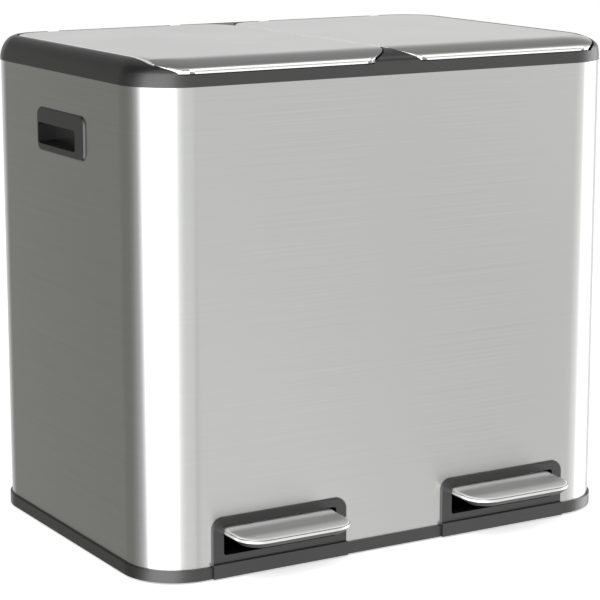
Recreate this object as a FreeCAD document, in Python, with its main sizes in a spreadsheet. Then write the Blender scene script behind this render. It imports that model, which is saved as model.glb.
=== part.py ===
"""Double recycling bin: two pedals, two lids, two lift-out buckets in one steel-clad housing.

Millimetres. X runs along the width, Y from front to back (the front faces -Y) and Z up.
The origin is on the floor, in the middle of the steel body's footprint.
"""
import FreeCAD, Part
import os
import re
import Sketcher

# ---------------------------------------------------------------- driving sizes

SIZES = {
    # steel body
    "body_width": 490,
    "body_depth": 334,
    "body_corner": 50,
    "body_sheet": 0.8,
    "sheet_bottom": 12,
    "overall_height": 450,
    "rim_height": 22,
    "seam_slit": 0.4,
    "seam_strip_width": 30,
    # clearances that several pieces share
    "seat_gap": 0.2,
    "near_gap": 0.3,
    "running_gap": 0.06,
    # top rim
    "rim_proud": 0.8,
    "rim_wall": 2.5,
    "side_roll": 16,
    "front_roll": 35,
    "front_band": 11,
    "skirt_depth": 20,
    "ledge_side": 28.8,
    "ledge_front": 21.8,
    "ledge_rear": 47,
    "well_divider": 26,
    "well_corner": 30,
    # lids
    "lid_gap": 1.8,
    "lid_margin": 1.2,
    "lid_rear_margin": 2,
    "lid_lead": 0.6,
    "lid_corner": 34,
    "lid_seat_gap": 0.8,
    "lid_sheet": 0.8,
    "skin_gap": 0.15,
    "liner_wall": 2,
    "liner_lift": 0.3,
    "skirt_wall": 2,
    "skirt_inset": 7,
    "skirt_reach": 7,
    "rib_wall": 1.6,
    "rib_drop": 5,
    "rib_spacing_across": 51,
    "rib_spacing_along": 77,
    "bumper_radius": 3.5,
    "bumper_height": 2.4,
    "bumper_setback": 10.3,
    # lid hinges
    "hinge_setback": 10,
    "hinge_drop": 3.8,
    "hinge_spacing": 65,
    "hinge_pin_radius": 1.5,
    "hinge_pin_grip": 6,
    "knuckle_radius": 2.6,
    "knuckle_width": 12,
    "knuckle_gap": 0.4,
    # crank and lift rod
    "lid_swing": 80,
    "crank_radius": 22,
    "crank_sheet": 2.5,
    "crank_end_radius": 4.5,
    "crank_pin_radius": 2.5,
    "crank_pin_length": 14,
    "crank_flange_width": 20,
    "crank_flange_length": 20,
    "crank_flange_setback": 16,
    "crank_flange_wall": 2,
    "crank_flange_corner": 2,
    "crank_arm_inset": 2,
    "rod_radius": 3,
    "head_width": 15,
    "head_cheek": 1,
    "head_wall": 7,
    "head_top": 5,
    "head_corner": 1.1,
    "head_socket_roof": 2,
    "fork_depth": 6.5,
    "fork_gap": 0.75,
    "slot_float": 0.8,
    "slot_room": 1,
    "foot_radius": 9,
    "foot_height": 10,
    "foot_socket_floor": 3.4,
    "foot_edge": 1.5,
    # rod channel and damper
    "channel_width": 32,
    "channel_wall": 2.5,
    "channel_gap": 0.5,
    "channel_bottom": 70,
    "channel_ear": 10,
    "channel_ear_wall": 3,
    "channel_foot": 18,
    "channel_foot_height": 4,
    "guide_wall": 6,
    "guide_land": 4,
    "guide_low": 80,
    "guide_drop": 64,
    "damper_spacing": 14.5,
    "damper_radius": 7,
    "damper_wall": 1.5,
    "damper_gland": 4.5,
    "damper_length": 200,
    "piston_rod_radius": 2,
    "piston_height": 8,
    "piston_lift": 150,
    "clamp_height": 8,
    "clamp_drop": 110,
    "clamp_width": 12,
    "clamp_corner": 3,
    "clamp_cap": 2,
    # pedals
    "pedal_side_inset": 126,
    "pedal_width": 112,
    "pedal_reach": 43,
    "pedal_inside": 4,
    "pedal_top": 46.6,
    "pedal_bevel": 5,
    "pedal_bevel_drop": 2.6,
    "pedal_hem": 40,
    "pedal_underside": 37,
    "pedal_corner": 15,
    "pedal_sheet": 0.8,
    "pad_taper": 6,
    "pad_hole_roof": 0.4,
    "lever_width": 22,
    "lever_sheet": 1.6,
    "lever_depth": 12,
    "lever_tip_depth": 8,
    "tongue_depth": 6,
    "tongue_length": 34,
    "tongue_bend": 62,
    "pivot_setback": 100,
    "pivot_height": 28.2,
    "lever_pin_radius": 3,
    "saddle_radius": 6,
    "saddle_shank": 24,
    "saddle_setback": 3,
    "shank_clearance": 1,
    "rivet_radius": 2.2,
    "rivet_head": 4,
    "rivet_head_height": 1.2,
    "rivet_setback": 12,
    "rivet_spacing": 15,
    # pedal bezels
    "bezel_width": 136,
    "bezel_bottom": 14,
    "bezel_top": 55.3,
    "bezel_corner": 11,
    "bezel_proud": 2,
    "bezel_bevel": 1,
    "bezel_opening_width": 114,
    "bezel_opening_bottom": 21,
    "bezel_opening_top": 47.4,
    "bezel_opening_corner": 2.5,
    "bezel_collar": 3,
    "bezel_depth": 9,
    "collar_gap": 0.5,
    # handles
    "handle_length": 98,
    "handle_height": 39.5,
    "handle_corner": 8,
    "handle_centre_y": -2.8,
    "handle_drop": 95.5,
    "handle_proud": 1.6,
    "handle_bevel": 1.2,
    "handle_lip": 1.2,
    "cup_corner": 6,
    "grip_corner": 3,
    "grip_length": 76.8,
    "grip_height": 19,
    "grip_centre_y": 5.1,
    "grip_sill": 6.5,
    "handle_depth": 17.5,
    "handle_wall": 2,
    # buckets
    "bucket_fit": 1.5,
    "bucket_wall": 2,
    "bucket_flange": 5.5,
    "bucket_flange_wall": 2.5,
    "bucket_bottom": 95,
    "bucket_taper": 10,
    # base tray
    "base_proud": 2,
    "base_bottom": 1.5,
    "base_floor": 2.5,
    "base_ring_height": 10,
    "base_ring_wall": 2.5,
    "bump_proud": 2.4,
    "pivot_ear_wall": 4,
    "pivot_ear_length": 18,
    "base_rib_height": 3,
    "base_rib_wall": 2,
    "stop_length": 14,
    "stop_setback": 41.5,
    "stop_gap": 0.3,
    "long_rib_spacing": 59,
    "cross_rib_front": -60,
    "cross_rib_middle": -17,
    "cross_rib_rear": 36.7,
    "foot_pad_radius": 12,
    "foot_pad_nest": 1,
    "foot_pad_inset": 42,
    # screws
    "screw_radius": 1.5,
    "screw_head_radius": 3.2,
    "screw_head_height": 1.3,
    "screw_bite": 6,
    "screw_edge": 0.4,
}

# ------------------------------------------- places worked out from the sizes

PLACES = {
    "rim_side": "body_width / 2 + rim_proud",
    "rim_front": "-(body_depth / 2 + rim_proud)",
    "rim_rear": "body_depth / 2 + rim_proud",
    "rim_bottom": "overall_height - rim_height",
    "lid_edge": "rim_bottom + front_band",
    "ledge_top": "lid_edge - lid_seat_gap",
    "ledge_under": "ledge_top - rim_wall",
    "lid_outer": "rim_side - side_roll - lid_margin",
    "lid_inner": "lid_gap / 2",
    "lid_middle": "(lid_outer + lid_inner) / 2",
    "hinge_y": "body_depth / 2 - hinge_setback",
    "hinge_z": "overall_height - hinge_drop",
    "lid_rear": "rim_rear - side_roll - lid_rear_margin",
    "liner_inset": "lid_sheet + skin_gap",
    "liner_inside": "liner_inset + liner_wall",
    "plate_under": "overall_height - liner_inside",
    "liner_bottom": "lid_edge + liner_lift",
    "well_outer": "rim_side - ledge_side",
    "well_inner": "well_divider / 2",
    "well_front": "rim_front + ledge_front",
    "well_rear": "hinge_y - ledge_rear",
    "well_middle_x": "(well_outer + well_inner) / 2",
    "well_middle_y": "(well_front + well_rear) / 2",
    "well_width": "well_outer - well_inner",
    "well_length": "well_rear - well_front",
    "skirt_bottom": "ledge_top - skirt_reach",
    "pivot_y": "-body_depth / 2 + pivot_setback",
    "head_front": "hinge_y - crank_radius - crank_pin_radius - slot_float - head_cheek",
    "head_rear": "crank_pin_y + crank_pin_radius + slot_float + head_cheek",
    "rod_y": "(head_front + head_rear) / 2",
    "rear_arm": "rod_y - pivot_y",
    "stop_place": "rod_y - stop_setback",
    "travel": "2 * crank_radius * sin(lid_swing / 2)",
    "saddle_z": "pivot_height - travel / 2",
    "crank_pin_y": "hinge_y - crank_radius * cos(lid_swing / 2)",
    "crank_pin_z": "hinge_z - crank_radius * sin(lid_swing / 2)",
    "crank_flange_z": "plate_under - crank_flange_wall",
    "head_z": "crank_pin_z + head_top",
    "fork_z": "crank_pin_z - fork_depth",
    "head_bottom": "fork_z - head_wall",
    "foot_z": "saddle_z + saddle_radius + near_gap",
    "pedal_offset": "body_width / 2 - pedal_side_inset",
    "sheet_inside": "body_width / 2 - body_sheet",
    "sheet_rear": "body_depth / 2 - body_sheet",
    "ring_side": "sheet_inside - seat_gap",
    "ring_rear": "sheet_rear - seat_gap",
    "channel_rear": "ring_rear - rim_wall - near_gap",
    "channel_front": "well_rear + rim_wall + channel_gap",
    "channel_top": "ledge_under - near_gap",
    "floor_top": "base_bottom + base_floor",
    "guide_high": "overall_height - guide_drop",
    "clamp_place": "overall_height - clamp_drop",
    "damper_y": "rod_y - damper_spacing",
    "damper_bottom": "guide_low + guide_wall + near_gap",
    "tongue_bottom": "pedal_underside + 1",
    "tongue_top": "tongue_bottom + tongue_depth",
    "face_front": "-body_depth / 2",
    "pedal_front": "face_front - pedal_reach",
    "pedal_rear": "face_front + pedal_inside",
    "lever_rear": "rod_y - saddle_radius - saddle_setback",
    "foot_x": "body_width / 2 - foot_pad_inset",
    "foot_y": "body_depth / 2 - foot_pad_inset",
    "ring_top": "sheet_bottom + base_ring_height",
    "ring_corner": "body_corner - body_sheet - seat_gap",
    "cheek_reach": "(lever_width / 2 + near_gap + pivot_ear_wall)",
    "skirt_low": "rim_bottom - skirt_depth",
    "rim_screw_x": "channel_width / 2 + channel_ear / 2",
    "base_screw_x": "channel_width / 4",
    "base_screw_y": "channel_rear - channel_foot / 2 - channel_wall / 2",
    "bumper_spread": "well_width / 2 - well_corner",
    "bumper_y": "rim_front + bumper_setback",
    "bumper_top": "ledge_top + near_gap + bumper_height",
    "crank_flange_rear": "hinge_y - crank_flange_setback",
    "crank_flange_front": "crank_flange_rear - crank_flange_length",
    "crank_screw_x": "crank_flange_width / 2 - screw_head_radius - screw_edge",
    "crank_screw_y": "crank_flange_front + screw_head_radius + screw_edge",
    "screw_reach": "liner_wall * 0.7",
    "pad_inset": "pedal_sheet + skin_gap",
    "pad_roof": "pedal_top - pad_inset - pad_hole_roof",
    "handle_bottom": "overall_height - handle_drop",
    "handle_middle": "handle_bottom + handle_height / 2",
    "grip_bottom": "handle_bottom + grip_sill",
    "cup_roof": "handle_bottom + handle_height - handle_lip - seat_gap - handle_wall",
    "bucket_rim": "ledge_top + bucket_flange_wall",
}

ALIASES = set(SIZES)
SIDES = {"left": -1, "right": 1}

doc = FreeCAD.newDocument("double_recycling_bin")
sheet = doc.addObject("Spreadsheet::Sheet", "Sizes")
for row, (alias, number) in enumerate(SIZES.items(), start=1):
    sheet.set(f"A{row}", alias.replace("_", " "))
    sheet.set(f"B{row}", str(number))
    sheet.setAlias(f"B{row}", alias)
doc.recompute()


def formula(text):
    """Writes a size or place as an expression of the sheet's cells."""

    def swap(match):
        word = match.group()
        if word in PLACES:
            return "(" + formula(PLACES[word]) + ")"
        return "Sizes." + word if word in ALIASES else word

    return re.sub(r"[a-z][a-z_]*", swap, str(text))


def value(text):
    """The number that a formula stands for now."""
    return float(sheet.evalExpression(formula(text)))


# --------------------------------------------------------------- drawing tools


def tie(sketch, kind, geometry, point, text):
    """Ties one coordinate of a sketch point to a formula."""
    constraint = Sketcher.Constraint(kind, -1, 1, geometry, point, value(text))
    index = sketch.addConstraint(constraint)
    sketch.setExpression(f"Constraints[{index}]", formula(text))


def circle(x, y, radius):
    """Outline: a circle."""

    def draw(sketch):
        centre = FreeCAD.Vector(value(x), value(y), 0)
        normal = FreeCAD.Vector(0, 0, 1)
        index = sketch.addGeometry(Part.Circle(centre, normal, value(radius)))
        tie(sketch, "DistanceX", index, 3, x)
        tie(sketch, "DistanceY", index, 3, y)
        size = sketch.addConstraint(Sketcher.Constraint("Radius", index, value(radius)))
        sketch.setExpression(f"Constraints[{size}]", formula(radius))

    return draw


def polygon(*corners):
    """Outline: straight edges through corners, each a pair of formulas."""

    def draw(sketch):
        spots = [FreeCAD.Vector(value(x), value(y), 0) for x, y in corners]
        edges = list(zip(spots, spots[1:] + spots[:1]))
        first = sketch.addGeometry([Part.LineSegment(a, b) for a, b in edges])[0]
        count = len(corners)
        for k, (x, y) in enumerate(corners):
            after = first + (k + 1) % count
            sketch.addConstraint(Sketcher.Constraint("Coincident", first + k, 2, after, 1))
            tie(sketch, "DistanceX", first + k, 1, x)
            tie(sketch, "DistanceY", first + k, 1, y)

    return draw


def box(x, y, width, height):
    """Outline: a rectangle by its centre and sides."""
    left, right = f"({x}) - ({width}) / 2", f"({x}) + ({width}) / 2"
    low, high = f"({y}) - ({height}) / 2", f"({y}) + ({height}) / 2"
    return polygon((left, low), (right, low), (right, high), (left, high))


def rounded(x, y, width, height, radius):
    """Outline: a rectangle with equal round corners, by its centre and sides."""

    def draw(sketch):
        turns = [(1, 1), (-1, 1), (-1, -1), (1, -1)]
        across, along = f"(({width}) / 2 - ({radius}))", f"(({height}) / 2 - ({radius}))"
        centres = [(f"({x}) + {i} * {across}", f"({y}) + {j} * {along}") for i, j in turns]
        r = value(radius)
        spots = [FreeCAD.Vector(value(a), value(b), 0) for a, b in centres]
        quarter = 1.5707963267948966
        arcs = []
        for k, spot in enumerate(spots):
            whole = Part.Circle(spot, FreeCAD.Vector(0, 0, 1), r)
            arcs.append(Part.ArcOfCircle(whole, k * quarter, (k + 1) * quarter))
        first = sketch.addGeometry(arcs)[0]
        sides = [Part.LineSegment(arcs[k].EndPoint, arcs[(k + 1) % 4].StartPoint) for k in range(4)]
        side = sketch.addGeometry(sides)[0]
        for k, (a, b) in enumerate(centres):
            tie(sketch, "DistanceX", first + k, 3, a)
            tie(sketch, "DistanceY", first + k, 3, b)
            sketch.addConstraint(Sketcher.Constraint("Tangent", first + k, 2, side + k, 1))
            sketch.addConstraint(Sketcher.Constraint("Tangent", side + k, 2, first + (k + 1) % 4, 1))
        size = sketch.addConstraint(Sketcher.Constraint("Radius", first, r))
        sketch.setExpression(f"Constraints[{size}]", formula(radius))
        for k in (1, 2, 3):
            sketch.addConstraint(Sketcher.Constraint("Equal", first, first + k))

    return draw


def arch(x, base, centre, radius):
    """Outline: a slab of twice the radius that ends in a half circle round its centre."""

    def draw(sketch):
        x0, low, middle, r = value(x), value(base), value(centre), value(radius)
        way = 1 if middle > low else -1
        spot = FreeCAD.Vector(x0, middle, 0)
        half = 3.141592653589793
        whole = Part.Circle(spot, FreeCAD.Vector(0, 0, 1), r)
        start = 0 if way > 0 else half
        pieces = [
            Part.ArcOfCircle(whole, start, start + half),
            Part.LineSegment(FreeCAD.Vector(x0 - way * r, middle, 0), FreeCAD.Vector(x0 - way * r, low, 0)),
            Part.LineSegment(FreeCAD.Vector(x0 - way * r, low, 0), FreeCAD.Vector(x0 + way * r, low, 0)),
            Part.LineSegment(FreeCAD.Vector(x0 + way * r, low, 0), FreeCAD.Vector(x0 + way * r, middle, 0)),
        ]
        k = sketch.addGeometry(pieces)[0]
        sketch.addConstraint(Sketcher.Constraint("Tangent", k, 2, k + 1, 1))
        sketch.addConstraint(Sketcher.Constraint("Coincident", k + 1, 2, k + 2, 1))
        sketch.addConstraint(Sketcher.Constraint("Coincident", k + 2, 2, k + 3, 1))
        sketch.addConstraint(Sketcher.Constraint("Tangent", k + 3, 2, k, 1))
        tie(sketch, "DistanceX", k, 3, x)
        tie(sketch, "DistanceY", k, 3, centre)
        tie(sketch, "DistanceX", k + 2, 1, f"({x}) - {way} * ({radius})")
        tie(sketch, "DistanceY", k + 2, 1, base)
        tie(sketch, "DistanceX", k + 3, 1, f"({x}) + {way} * ({radius})")
        tie(sketch, "DistanceY", k + 3, 1, base)
        size = sketch.addConstraint(Sketcher.Constraint("Radius", k, r))
        sketch.setExpression(f"Constraints[{size}]", formula(radius))

    return draw


def several(*outlines):
    """Several outlines, apart from each other, in one sketch."""

    def draw(sketch):
        for outline in outlines:
            outline(sketch)

    return draw


def new_body(label):
    body = doc.addObject("PartDesign::Body", label)
    body.Label = label
    body.AllowCompound = True
    return body


def prism(body, name, axis, low, high, outline, cut=False):
    """Pads an outline between two places along an axis, or cuts it out there."""
    role, way = {"x": ("YZ_Plane", 1), "y": ("XZ_Plane", -1), "z": ("XY_Plane", 1)}[axis]
    sketch = body.newObject("Sketcher::SketchObject", name + "_outline")
    plane = next(part for part in body.Origin.OriginFeatures if part.Role == role)
    sketch.AttachmentSupport = [(plane, "")]
    sketch.MapMode = "FlatFace"
    start = high if (way < 0) != cut else low
    sketch.setExpression("AttachmentOffset.Base.z", formula(f"{way} * ({start})"))
    outline(sketch)
    feature = body.newObject("PartDesign::Pocket" if cut else "PartDesign::Pad", name)
    feature.Profile = sketch
    feature.setExpression("Length", formula(f"({high}) - ({low})"))
    return feature


def loft(body, name, lower, upper, cut=False):
    """Joins two level outlines, each a place and an outline, with straight walls."""
    sketches = []
    for k, (level, outline) in enumerate((lower, upper)):
        sketch = body.newObject("Sketcher::SketchObject", f"{name}_outline_{k}")
        plane = next(part for part in body.Origin.OriginFeatures if part.Role == "XY_Plane")
        sketch.AttachmentSupport = [(plane, "")]
        sketch.MapMode = "FlatFace"
        sketch.setExpression("AttachmentOffset.Base.z", formula(level))
        outline(sketch)
        sketches.append(sketch)
    kind = "PartDesign::SubtractiveLoft" if cut else "PartDesign::AdditiveLoft"
    feature = body.newObject(kind, name)
    feature.Profile = sketches[0]
    feature.Sections = sketches[1:]
    feature.Ruled = True
    return feature


def dress(body, name, kind, size, chosen):
    """Fillets or chamfers the edges of a body that pass a test."""
    doc.recompute()
    base = body.Tip
    names = [f"Edge{k}" for k, edge in enumerate(base.Shape.Edges, start=1) if chosen(edge)]
    feature = body.newObject("PartDesign::" + kind, name)
    feature.Base = (base, names)
    feature.setExpression("Radius" if kind == "Fillet" else "Size", formula(size))
    return feature


def combine(kind, name, *parts):
    """A boolean of finished shapes: Cut takes the second away from the first."""
    if kind == "Cut":
        result = doc.addObject("Part::Cut", name)
        result.Base, result.Tool = parts
    else:
        result = doc.addObject("Part::Multi" + kind, name)
        result.Shapes = list(parts)
    result.Label = name
    return result


def between(side, near, far):
    """A span along X on one side, given for the right side."""
    if side > 0:
        return near, far
    return f"-({far})", f"-({near})"


NODES = []
NEAR = 0.01


def finish(node):
    NODES.append(node)
    return node


# ------------------------------------------------------------------- the crown
# The rim and the lids share one rolled outer form, lofted through level outlines.
# The sides and the back curve in like a quarter ellipse from the rim's bottom to the
# top. The front stays upright as far as the lids' front edge and rolls back above it.

ROLL_ANGLES = (0, 22.5, 45, 67.5, 90)


def level_outline(name, level, inset, front_inset):
    """Outline of the rolled form at one level, moved inwards by a distance."""
    climb = f"(({level} - rim_bottom) / (rim_height - ({inset})))"
    roll_in = f"((side_roll - ({inset})) * (1 - sqrt(abs(1 - {climb} ^ 2))))"
    half_width = f"(rim_side - ({inset}) - {roll_in})"
    rear = f"(rim_rear - ({inset}) - {roll_in})"
    front = f"(rim_front + ({inset}) + ({front_inset}))"
    corner = f"body_corner + rim_proud - ({inset}) - {roll_in}"
    sketch = doc.addObject("Sketcher::SketchObject", name)
    sketch.setExpression("Placement.Base.z", formula(level))
    middle, length = f"({rear} + {front}) / 2", f"{rear} - {front}"
    rounded("0", middle, f"2 * {half_width}", length, corner)(sketch)
    return sketch


def level_loft(name, sections):
    form = doc.addObject("Part::Loft", name)
    form.Sections = sections
    form.Solid = True
    form.Ruled = False
    return form


def rolled_top(name, inset="0"):
    """The form above the lids' front edge, or the same form moved inwards."""
    sections = []
    for k, angle in enumerate(ROLL_ANGLES):
        level = f"(lid_edge + (overall_height - ({inset}) - lid_edge) * sin({angle}))"
        front_inset = f"(front_roll - ({inset})) * (1 - cos({angle}))"
        sections.append(level_outline(f"{name}_level_{k}", level, inset, front_inset))
    return level_loft(name, sections)


def rolled_band(name):
    """The form below the lids' front edge."""
    levels = [f"(rim_bottom + {share} * front_band)" for share in (0, 0.5, 1)]
    sections = [level_outline(f"{name}_level_{k}", level, "0", "0") for k, level in enumerate(levels)]
    return level_loft(name, sections)


def lid_plan(side, inset="0", rear_gap="0"):
    """Plan outline of a lid, moved inwards by a distance, with more room behind it if asked."""
    low, high = f"(rim_front - lid_lead + ({inset}))", f"(lid_rear - ({inset}) + ({rear_gap}))"
    width = f"lid_outer - lid_inner - 2 * ({inset})"
    middle = f"({low} + {high}) / 2"
    return rounded(f"{side} * lid_middle", middle, width, f"{high} - {low}", f"lid_corner - ({inset})")


def well(side, grow="0"):
    """Plan outline of a bucket well, grown by a distance."""
    width, length = f"well_width + 2 * ({grow})", f"well_length + 2 * ({grow})"
    return rounded(f"{side} * well_middle_x", "well_middle_y", width, length, f"well_corner + ({grow})")


def hinge_spots(side):
    """X places of a lid's two hinges."""
    return [f"{side} * lid_middle + {way} * hinge_spacing" for way in (-1, 1)]


# ------------------------------------------------------------------ steel body


def steel_body():
    """Wrapped sheet with a slit at the back and windows for the bezels and the handles."""
    body = new_body("steel_body")
    outside = rounded("0", "0", "body_width", "body_depth", "body_corner")
    inside = rounded("0", "0", "2 * sheet_inside", "2 * sheet_rear", "body_corner - body_sheet")
    prism(body, "wrap", "z", "sheet_bottom", "rim_bottom - seat_gap", outside)
    prism(body, "hollow", "z", "sheet_bottom", "rim_bottom - seat_gap", inside, cut=True)
    for name, side in SIDES.items():
        top = "bezel_top - bezel_collar"
        middle, tall = f"({top} + sheet_bottom) / 2", f"{top} - sheet_bottom"
        opening = box(f"{side} * pedal_offset", middle, "bezel_width - 2 * bezel_collar", tall)
        prism(body, f"pedal_window_{name}", "y", "-body_depth / 2 - 1", "-sheet_rear + 1", opening, cut=True)
        long, tall = "handle_length - 2 * handle_lip", "handle_height - 2 * handle_lip"
        grip = rounded("handle_centre_y", "handle_middle", long, tall, "cup_corner")
        low, high = between(side, "sheet_inside - 1", "body_width / 2 + 1")
        prism(body, f"handle_window_{name}", "x", low, high, grip, cut=True)
    slit = box("0", "(sheet_bottom + rim_bottom) / 2", "seam_slit", "rim_bottom - sheet_bottom + 2")
    prism(body, "seam", "y", "sheet_rear - 1", "body_depth / 2 + 1", slit, cut=True)
    return finish(body)


def seam_strip():
    """Backing strip that joins the sheet's two ends on the inside."""
    body = new_body("seam_strip")
    low, high = "(ring_top + near_gap)", "(skirt_low - near_gap)"
    outline = box("0", f"({low} + {high}) / 2", "seam_strip_width", f"{high} - {low}")
    prism(body, "strip", "y", "sheet_rear - body_sheet", "sheet_rear", outline)
    return finish(body)


# ------------------------------------------------------------------- base tray


def base_tray():
    body = new_body("base_tray")
    wide, deep = "body_width + 2 * base_proud", "body_depth + 2 * base_proud"
    outside = rounded("0", "0", wide, deep, "body_corner + base_proud")
    prism(body, "plinth", "z", "base_bottom", "sheet_bottom", outside)
    ring = rounded("0", "0", "2 * ring_side", "2 * ring_rear", "ring_corner")
    prism(body, "ring", "z", "sheet_bottom", "ring_top", ring)
    hollow_wide, hollow_deep = "2 * (ring_side - base_ring_wall)", "2 * (ring_rear - base_ring_wall)"
    hollow = rounded("0", "0", hollow_wide, hollow_deep, "ring_corner - base_ring_wall")
    prism(body, "hollow", "z", "floor_top", "ring_top", hollow, cut=True)
    lanes = [f"{side} * pedal_offset" for side in SIDES.values()]
    bump_front = "-body_depth / 2 - bezel_proud - bump_proud"
    bumps = [
        box(lane, "(base_bottom + bezel_bottom) / 2", "bezel_width", "bezel_bottom - base_bottom")
        for lane in lanes
    ]
    prism(body, "bumps", "y", bump_front, "-body_depth / 2 - base_proud + 1", several(*bumps))
    sills = [
        box(lane, "(sheet_bottom + bezel_bottom) / 2", "bezel_width", "bezel_bottom - sheet_bottom")
        for lane in lanes
    ]
    prism(body, "sills", "y", bump_front, "-body_depth / 2 - near_gap", several(*sills))
    notch_wide = "bezel_width - 2 * bezel_collar + 2 * near_gap"
    notch_tall = "ring_top - bezel_bottom + 1"
    notches = [box(lane, "(bezel_bottom + ring_top + 1) / 2", notch_wide, notch_tall) for lane in lanes]
    notch_rear = "-ring_rear + base_ring_wall + 1"
    prism(body, "notches", "y", "-body_depth / 2", notch_rear, several(*notches), cut=True)

    for name, lane in zip(SIDES, lanes):
        cheek = arch("pivot_y", "floor_top", "pivot_height", "pivot_ear_length / 2")
        prism(body, f"pivot_block_{name}", "x", f"{lane} - cheek_reach", f"{lane} + cheek_reach", cheek)
    lever_gap = "lever_width + 2 * near_gap"
    gaps = [box(lane, "pivot_y", lever_gap, "pivot_ear_length + 1") for lane in lanes]
    ear_top = "pivot_height + pivot_ear_length / 2 + 1"
    prism(body, "lever_gaps", "z", "floor_top", ear_top, several(*gaps), cut=True)
    bore = circle("pivot_y", "pivot_height", "lever_pin_radius")
    bore_end = "(pedal_offset + cheek_reach + 1)"
    prism(body, "pin_bore", "x", f"-{bore_end}", bore_end, bore, cut=True)

    rib_top = "floor_top + base_rib_height"
    long_ribs = [
        box(f"{place} * long_rib_spacing", "0", "base_rib_wall", f"{hollow_deep} + 1")
        for place in (-3, -1, 0, 1, 3)
    ]
    prism(body, "long_ribs", "z", "floor_top", rib_top, several(*long_ribs))
    cross_ribs = [
        box("0", place, f"{hollow_wide} + 1", "base_rib_wall")
        for place in ("cross_rib_front", "cross_rib_middle", "cross_rib_rear")
    ]
    prism(body, "cross_ribs", "z", "floor_top", rib_top, several(*cross_ribs))
    nest_top = "base_bottom + foot_pad_nest"
    prism(body, "foot_nests", "z", "base_bottom", nest_top, several(*foot_outlines()), cut=True)
    sunk = several(*base_screw_outlines("screw_head_radius + seat_gap"))
    prism(body, "head_nests", "z", "base_bottom", "base_bottom + screw_head_height", sunk, cut=True)
    prism(body, "screw_holes", "z", "base_bottom", "floor_top", several(*base_screw_outlines()), cut=True)
    return finish(body)


def base_screw_outlines(radius="screw_radius"):
    lanes = [f"{side} * pedal_offset" for side in SIDES.values()]
    spots = [f"{lane} + {way} * base_screw_x" for lane in lanes for way in (-1, 1)]
    return [circle(x, "base_screw_y", radius) for x in spots]


def foot_outlines():
    places = ((0, 0), (1, 1), (-1, 1), (-1, -1), (1, -1))
    return [circle(f"{i} * foot_x", f"{j} * foot_y", "foot_pad_radius") for i, j in places]


def rubber_feet():
    body = new_body("rubber_feet")
    prism(body, "feet", "z", "0", "base_bottom + foot_pad_nest", several(*foot_outlines()))
    return finish(body)


# --------------------------------------------------------------------- top rim


def top_rim():
    """Moulded rim: rolled outside, hollow underneath, with a ledge round the two wells."""
    outside = combine("Fuse", "rim_outside", rolled_band("rim_band"), rolled_top("rim_roll"))

    pockets = new_body("rim_pockets")
    above = "overall_height + 2"
    for name, side in SIDES.items():
        plan = lid_plan(side, "-lid_margin", "lid_rear_margin - lid_margin")
        prism(pockets, f"pocket_{name}", "z", "ledge_top", above, plan)

    hollow = new_body("rim_hollow")
    wide, deep = "2 * (rim_side - rim_wall)", "2 * (rim_rear - rim_wall)"
    outline = rounded("0", "0", wide, deep, "body_corner + rim_proud - rim_wall")
    prism(hollow, "underside", "z", "skirt_low", "ledge_under", outline)
    shell = combine("Cut", "rim_shell_outside", outside, pockets)
    shell = combine("Cut", "rim_shell", shell, hollow)

    walls = new_body("rim_walls")
    skirt_top = "rim_bottom + front_band / 2"
    ring = rounded("0", "0", "2 * ring_side", "2 * ring_rear", "ring_corner")
    prism(walls, "skirt", "z", "skirt_low", skirt_top, ring)
    wide, deep = "2 * (ring_side - rim_wall)", "2 * (ring_rear - rim_wall)"
    inner = rounded("0", "0", wide, deep, "ring_corner - rim_wall")
    prism(walls, "skirt_hollow", "z", "skirt_low", skirt_top, inner, cut=True)
    collars = [well(side, "rim_wall") for side in SIDES.values()]
    prism(walls, "collars", "z", "skirt_low", "ledge_top", several(*collars))
    solid = combine("Fuse", "rim_solid", shell, walls)

    holes = new_body("rim_holes")
    wells = [well(side) for side in SIDES.values()]
    prism(holes, "wells", "z", "skirt_low - 1", "overall_height", several(*wells))
    front, rear = "head_front - slot_room", "head_rear + slot_room"
    slots, screws, knuckles = [], [], []
    seat_front, seat_rear = "lid_rear", "hinge_y + knuckle_radius + knuckle_gap"
    for name, side in SIDES.items():
        lane = f"{side} * pedal_offset"
        wide = "head_width + 2 * slot_room"
        slots.append(box(lane, f"({front} + {rear}) / 2", wide, f"{rear} - ({front})"))
        for way in (-1, 1):
            screws.append(circle(f"{lane} + {way} * rim_screw_x", "rod_y", "screw_radius"))
        for k, spot in enumerate(hinge_spots(side)):
            wide, deep = "knuckle_width + 2 * knuckle_gap", f"{seat_rear} - {seat_front}"
            knuckles.append(box(spot, f"({seat_front} + {seat_rear}) / 2", wide, deep))
            prism(holes, f"hinge_bore_{name}_{k}", "x", *pin_span(spot), hinge_circle())
    prism(holes, "slots", "z", "ledge_under - 1", "ledge_top + 1", several(*slots, *screws))
    seat_floor = "hinge_z - knuckle_radius - knuckle_gap"
    prism(holes, "knuckle_seats", "z", seat_floor, "overall_height + 1", several(*knuckles))
    return finish(combine("Cut", "top_rim", solid, holes))


def screw(body, name, x, y, head_z, point_z):
    """Pan-head screw along Z, with its head's flat side at head_z."""
    height = "screw_head_height" if value(point_z) < value(head_z) else "-screw_head_height"
    head_low, head_high = sorted((head_z, f"{head_z} + {height}"), key=value)
    prism(body, f"{name}_head", "z", head_low, head_high, circle(x, y, "screw_head_radius"))
    low, high = sorted((head_z, point_z), key=value)
    prism(body, f"{name}_shank", "z", low, high, circle(x, y, "screw_radius"))


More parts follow.
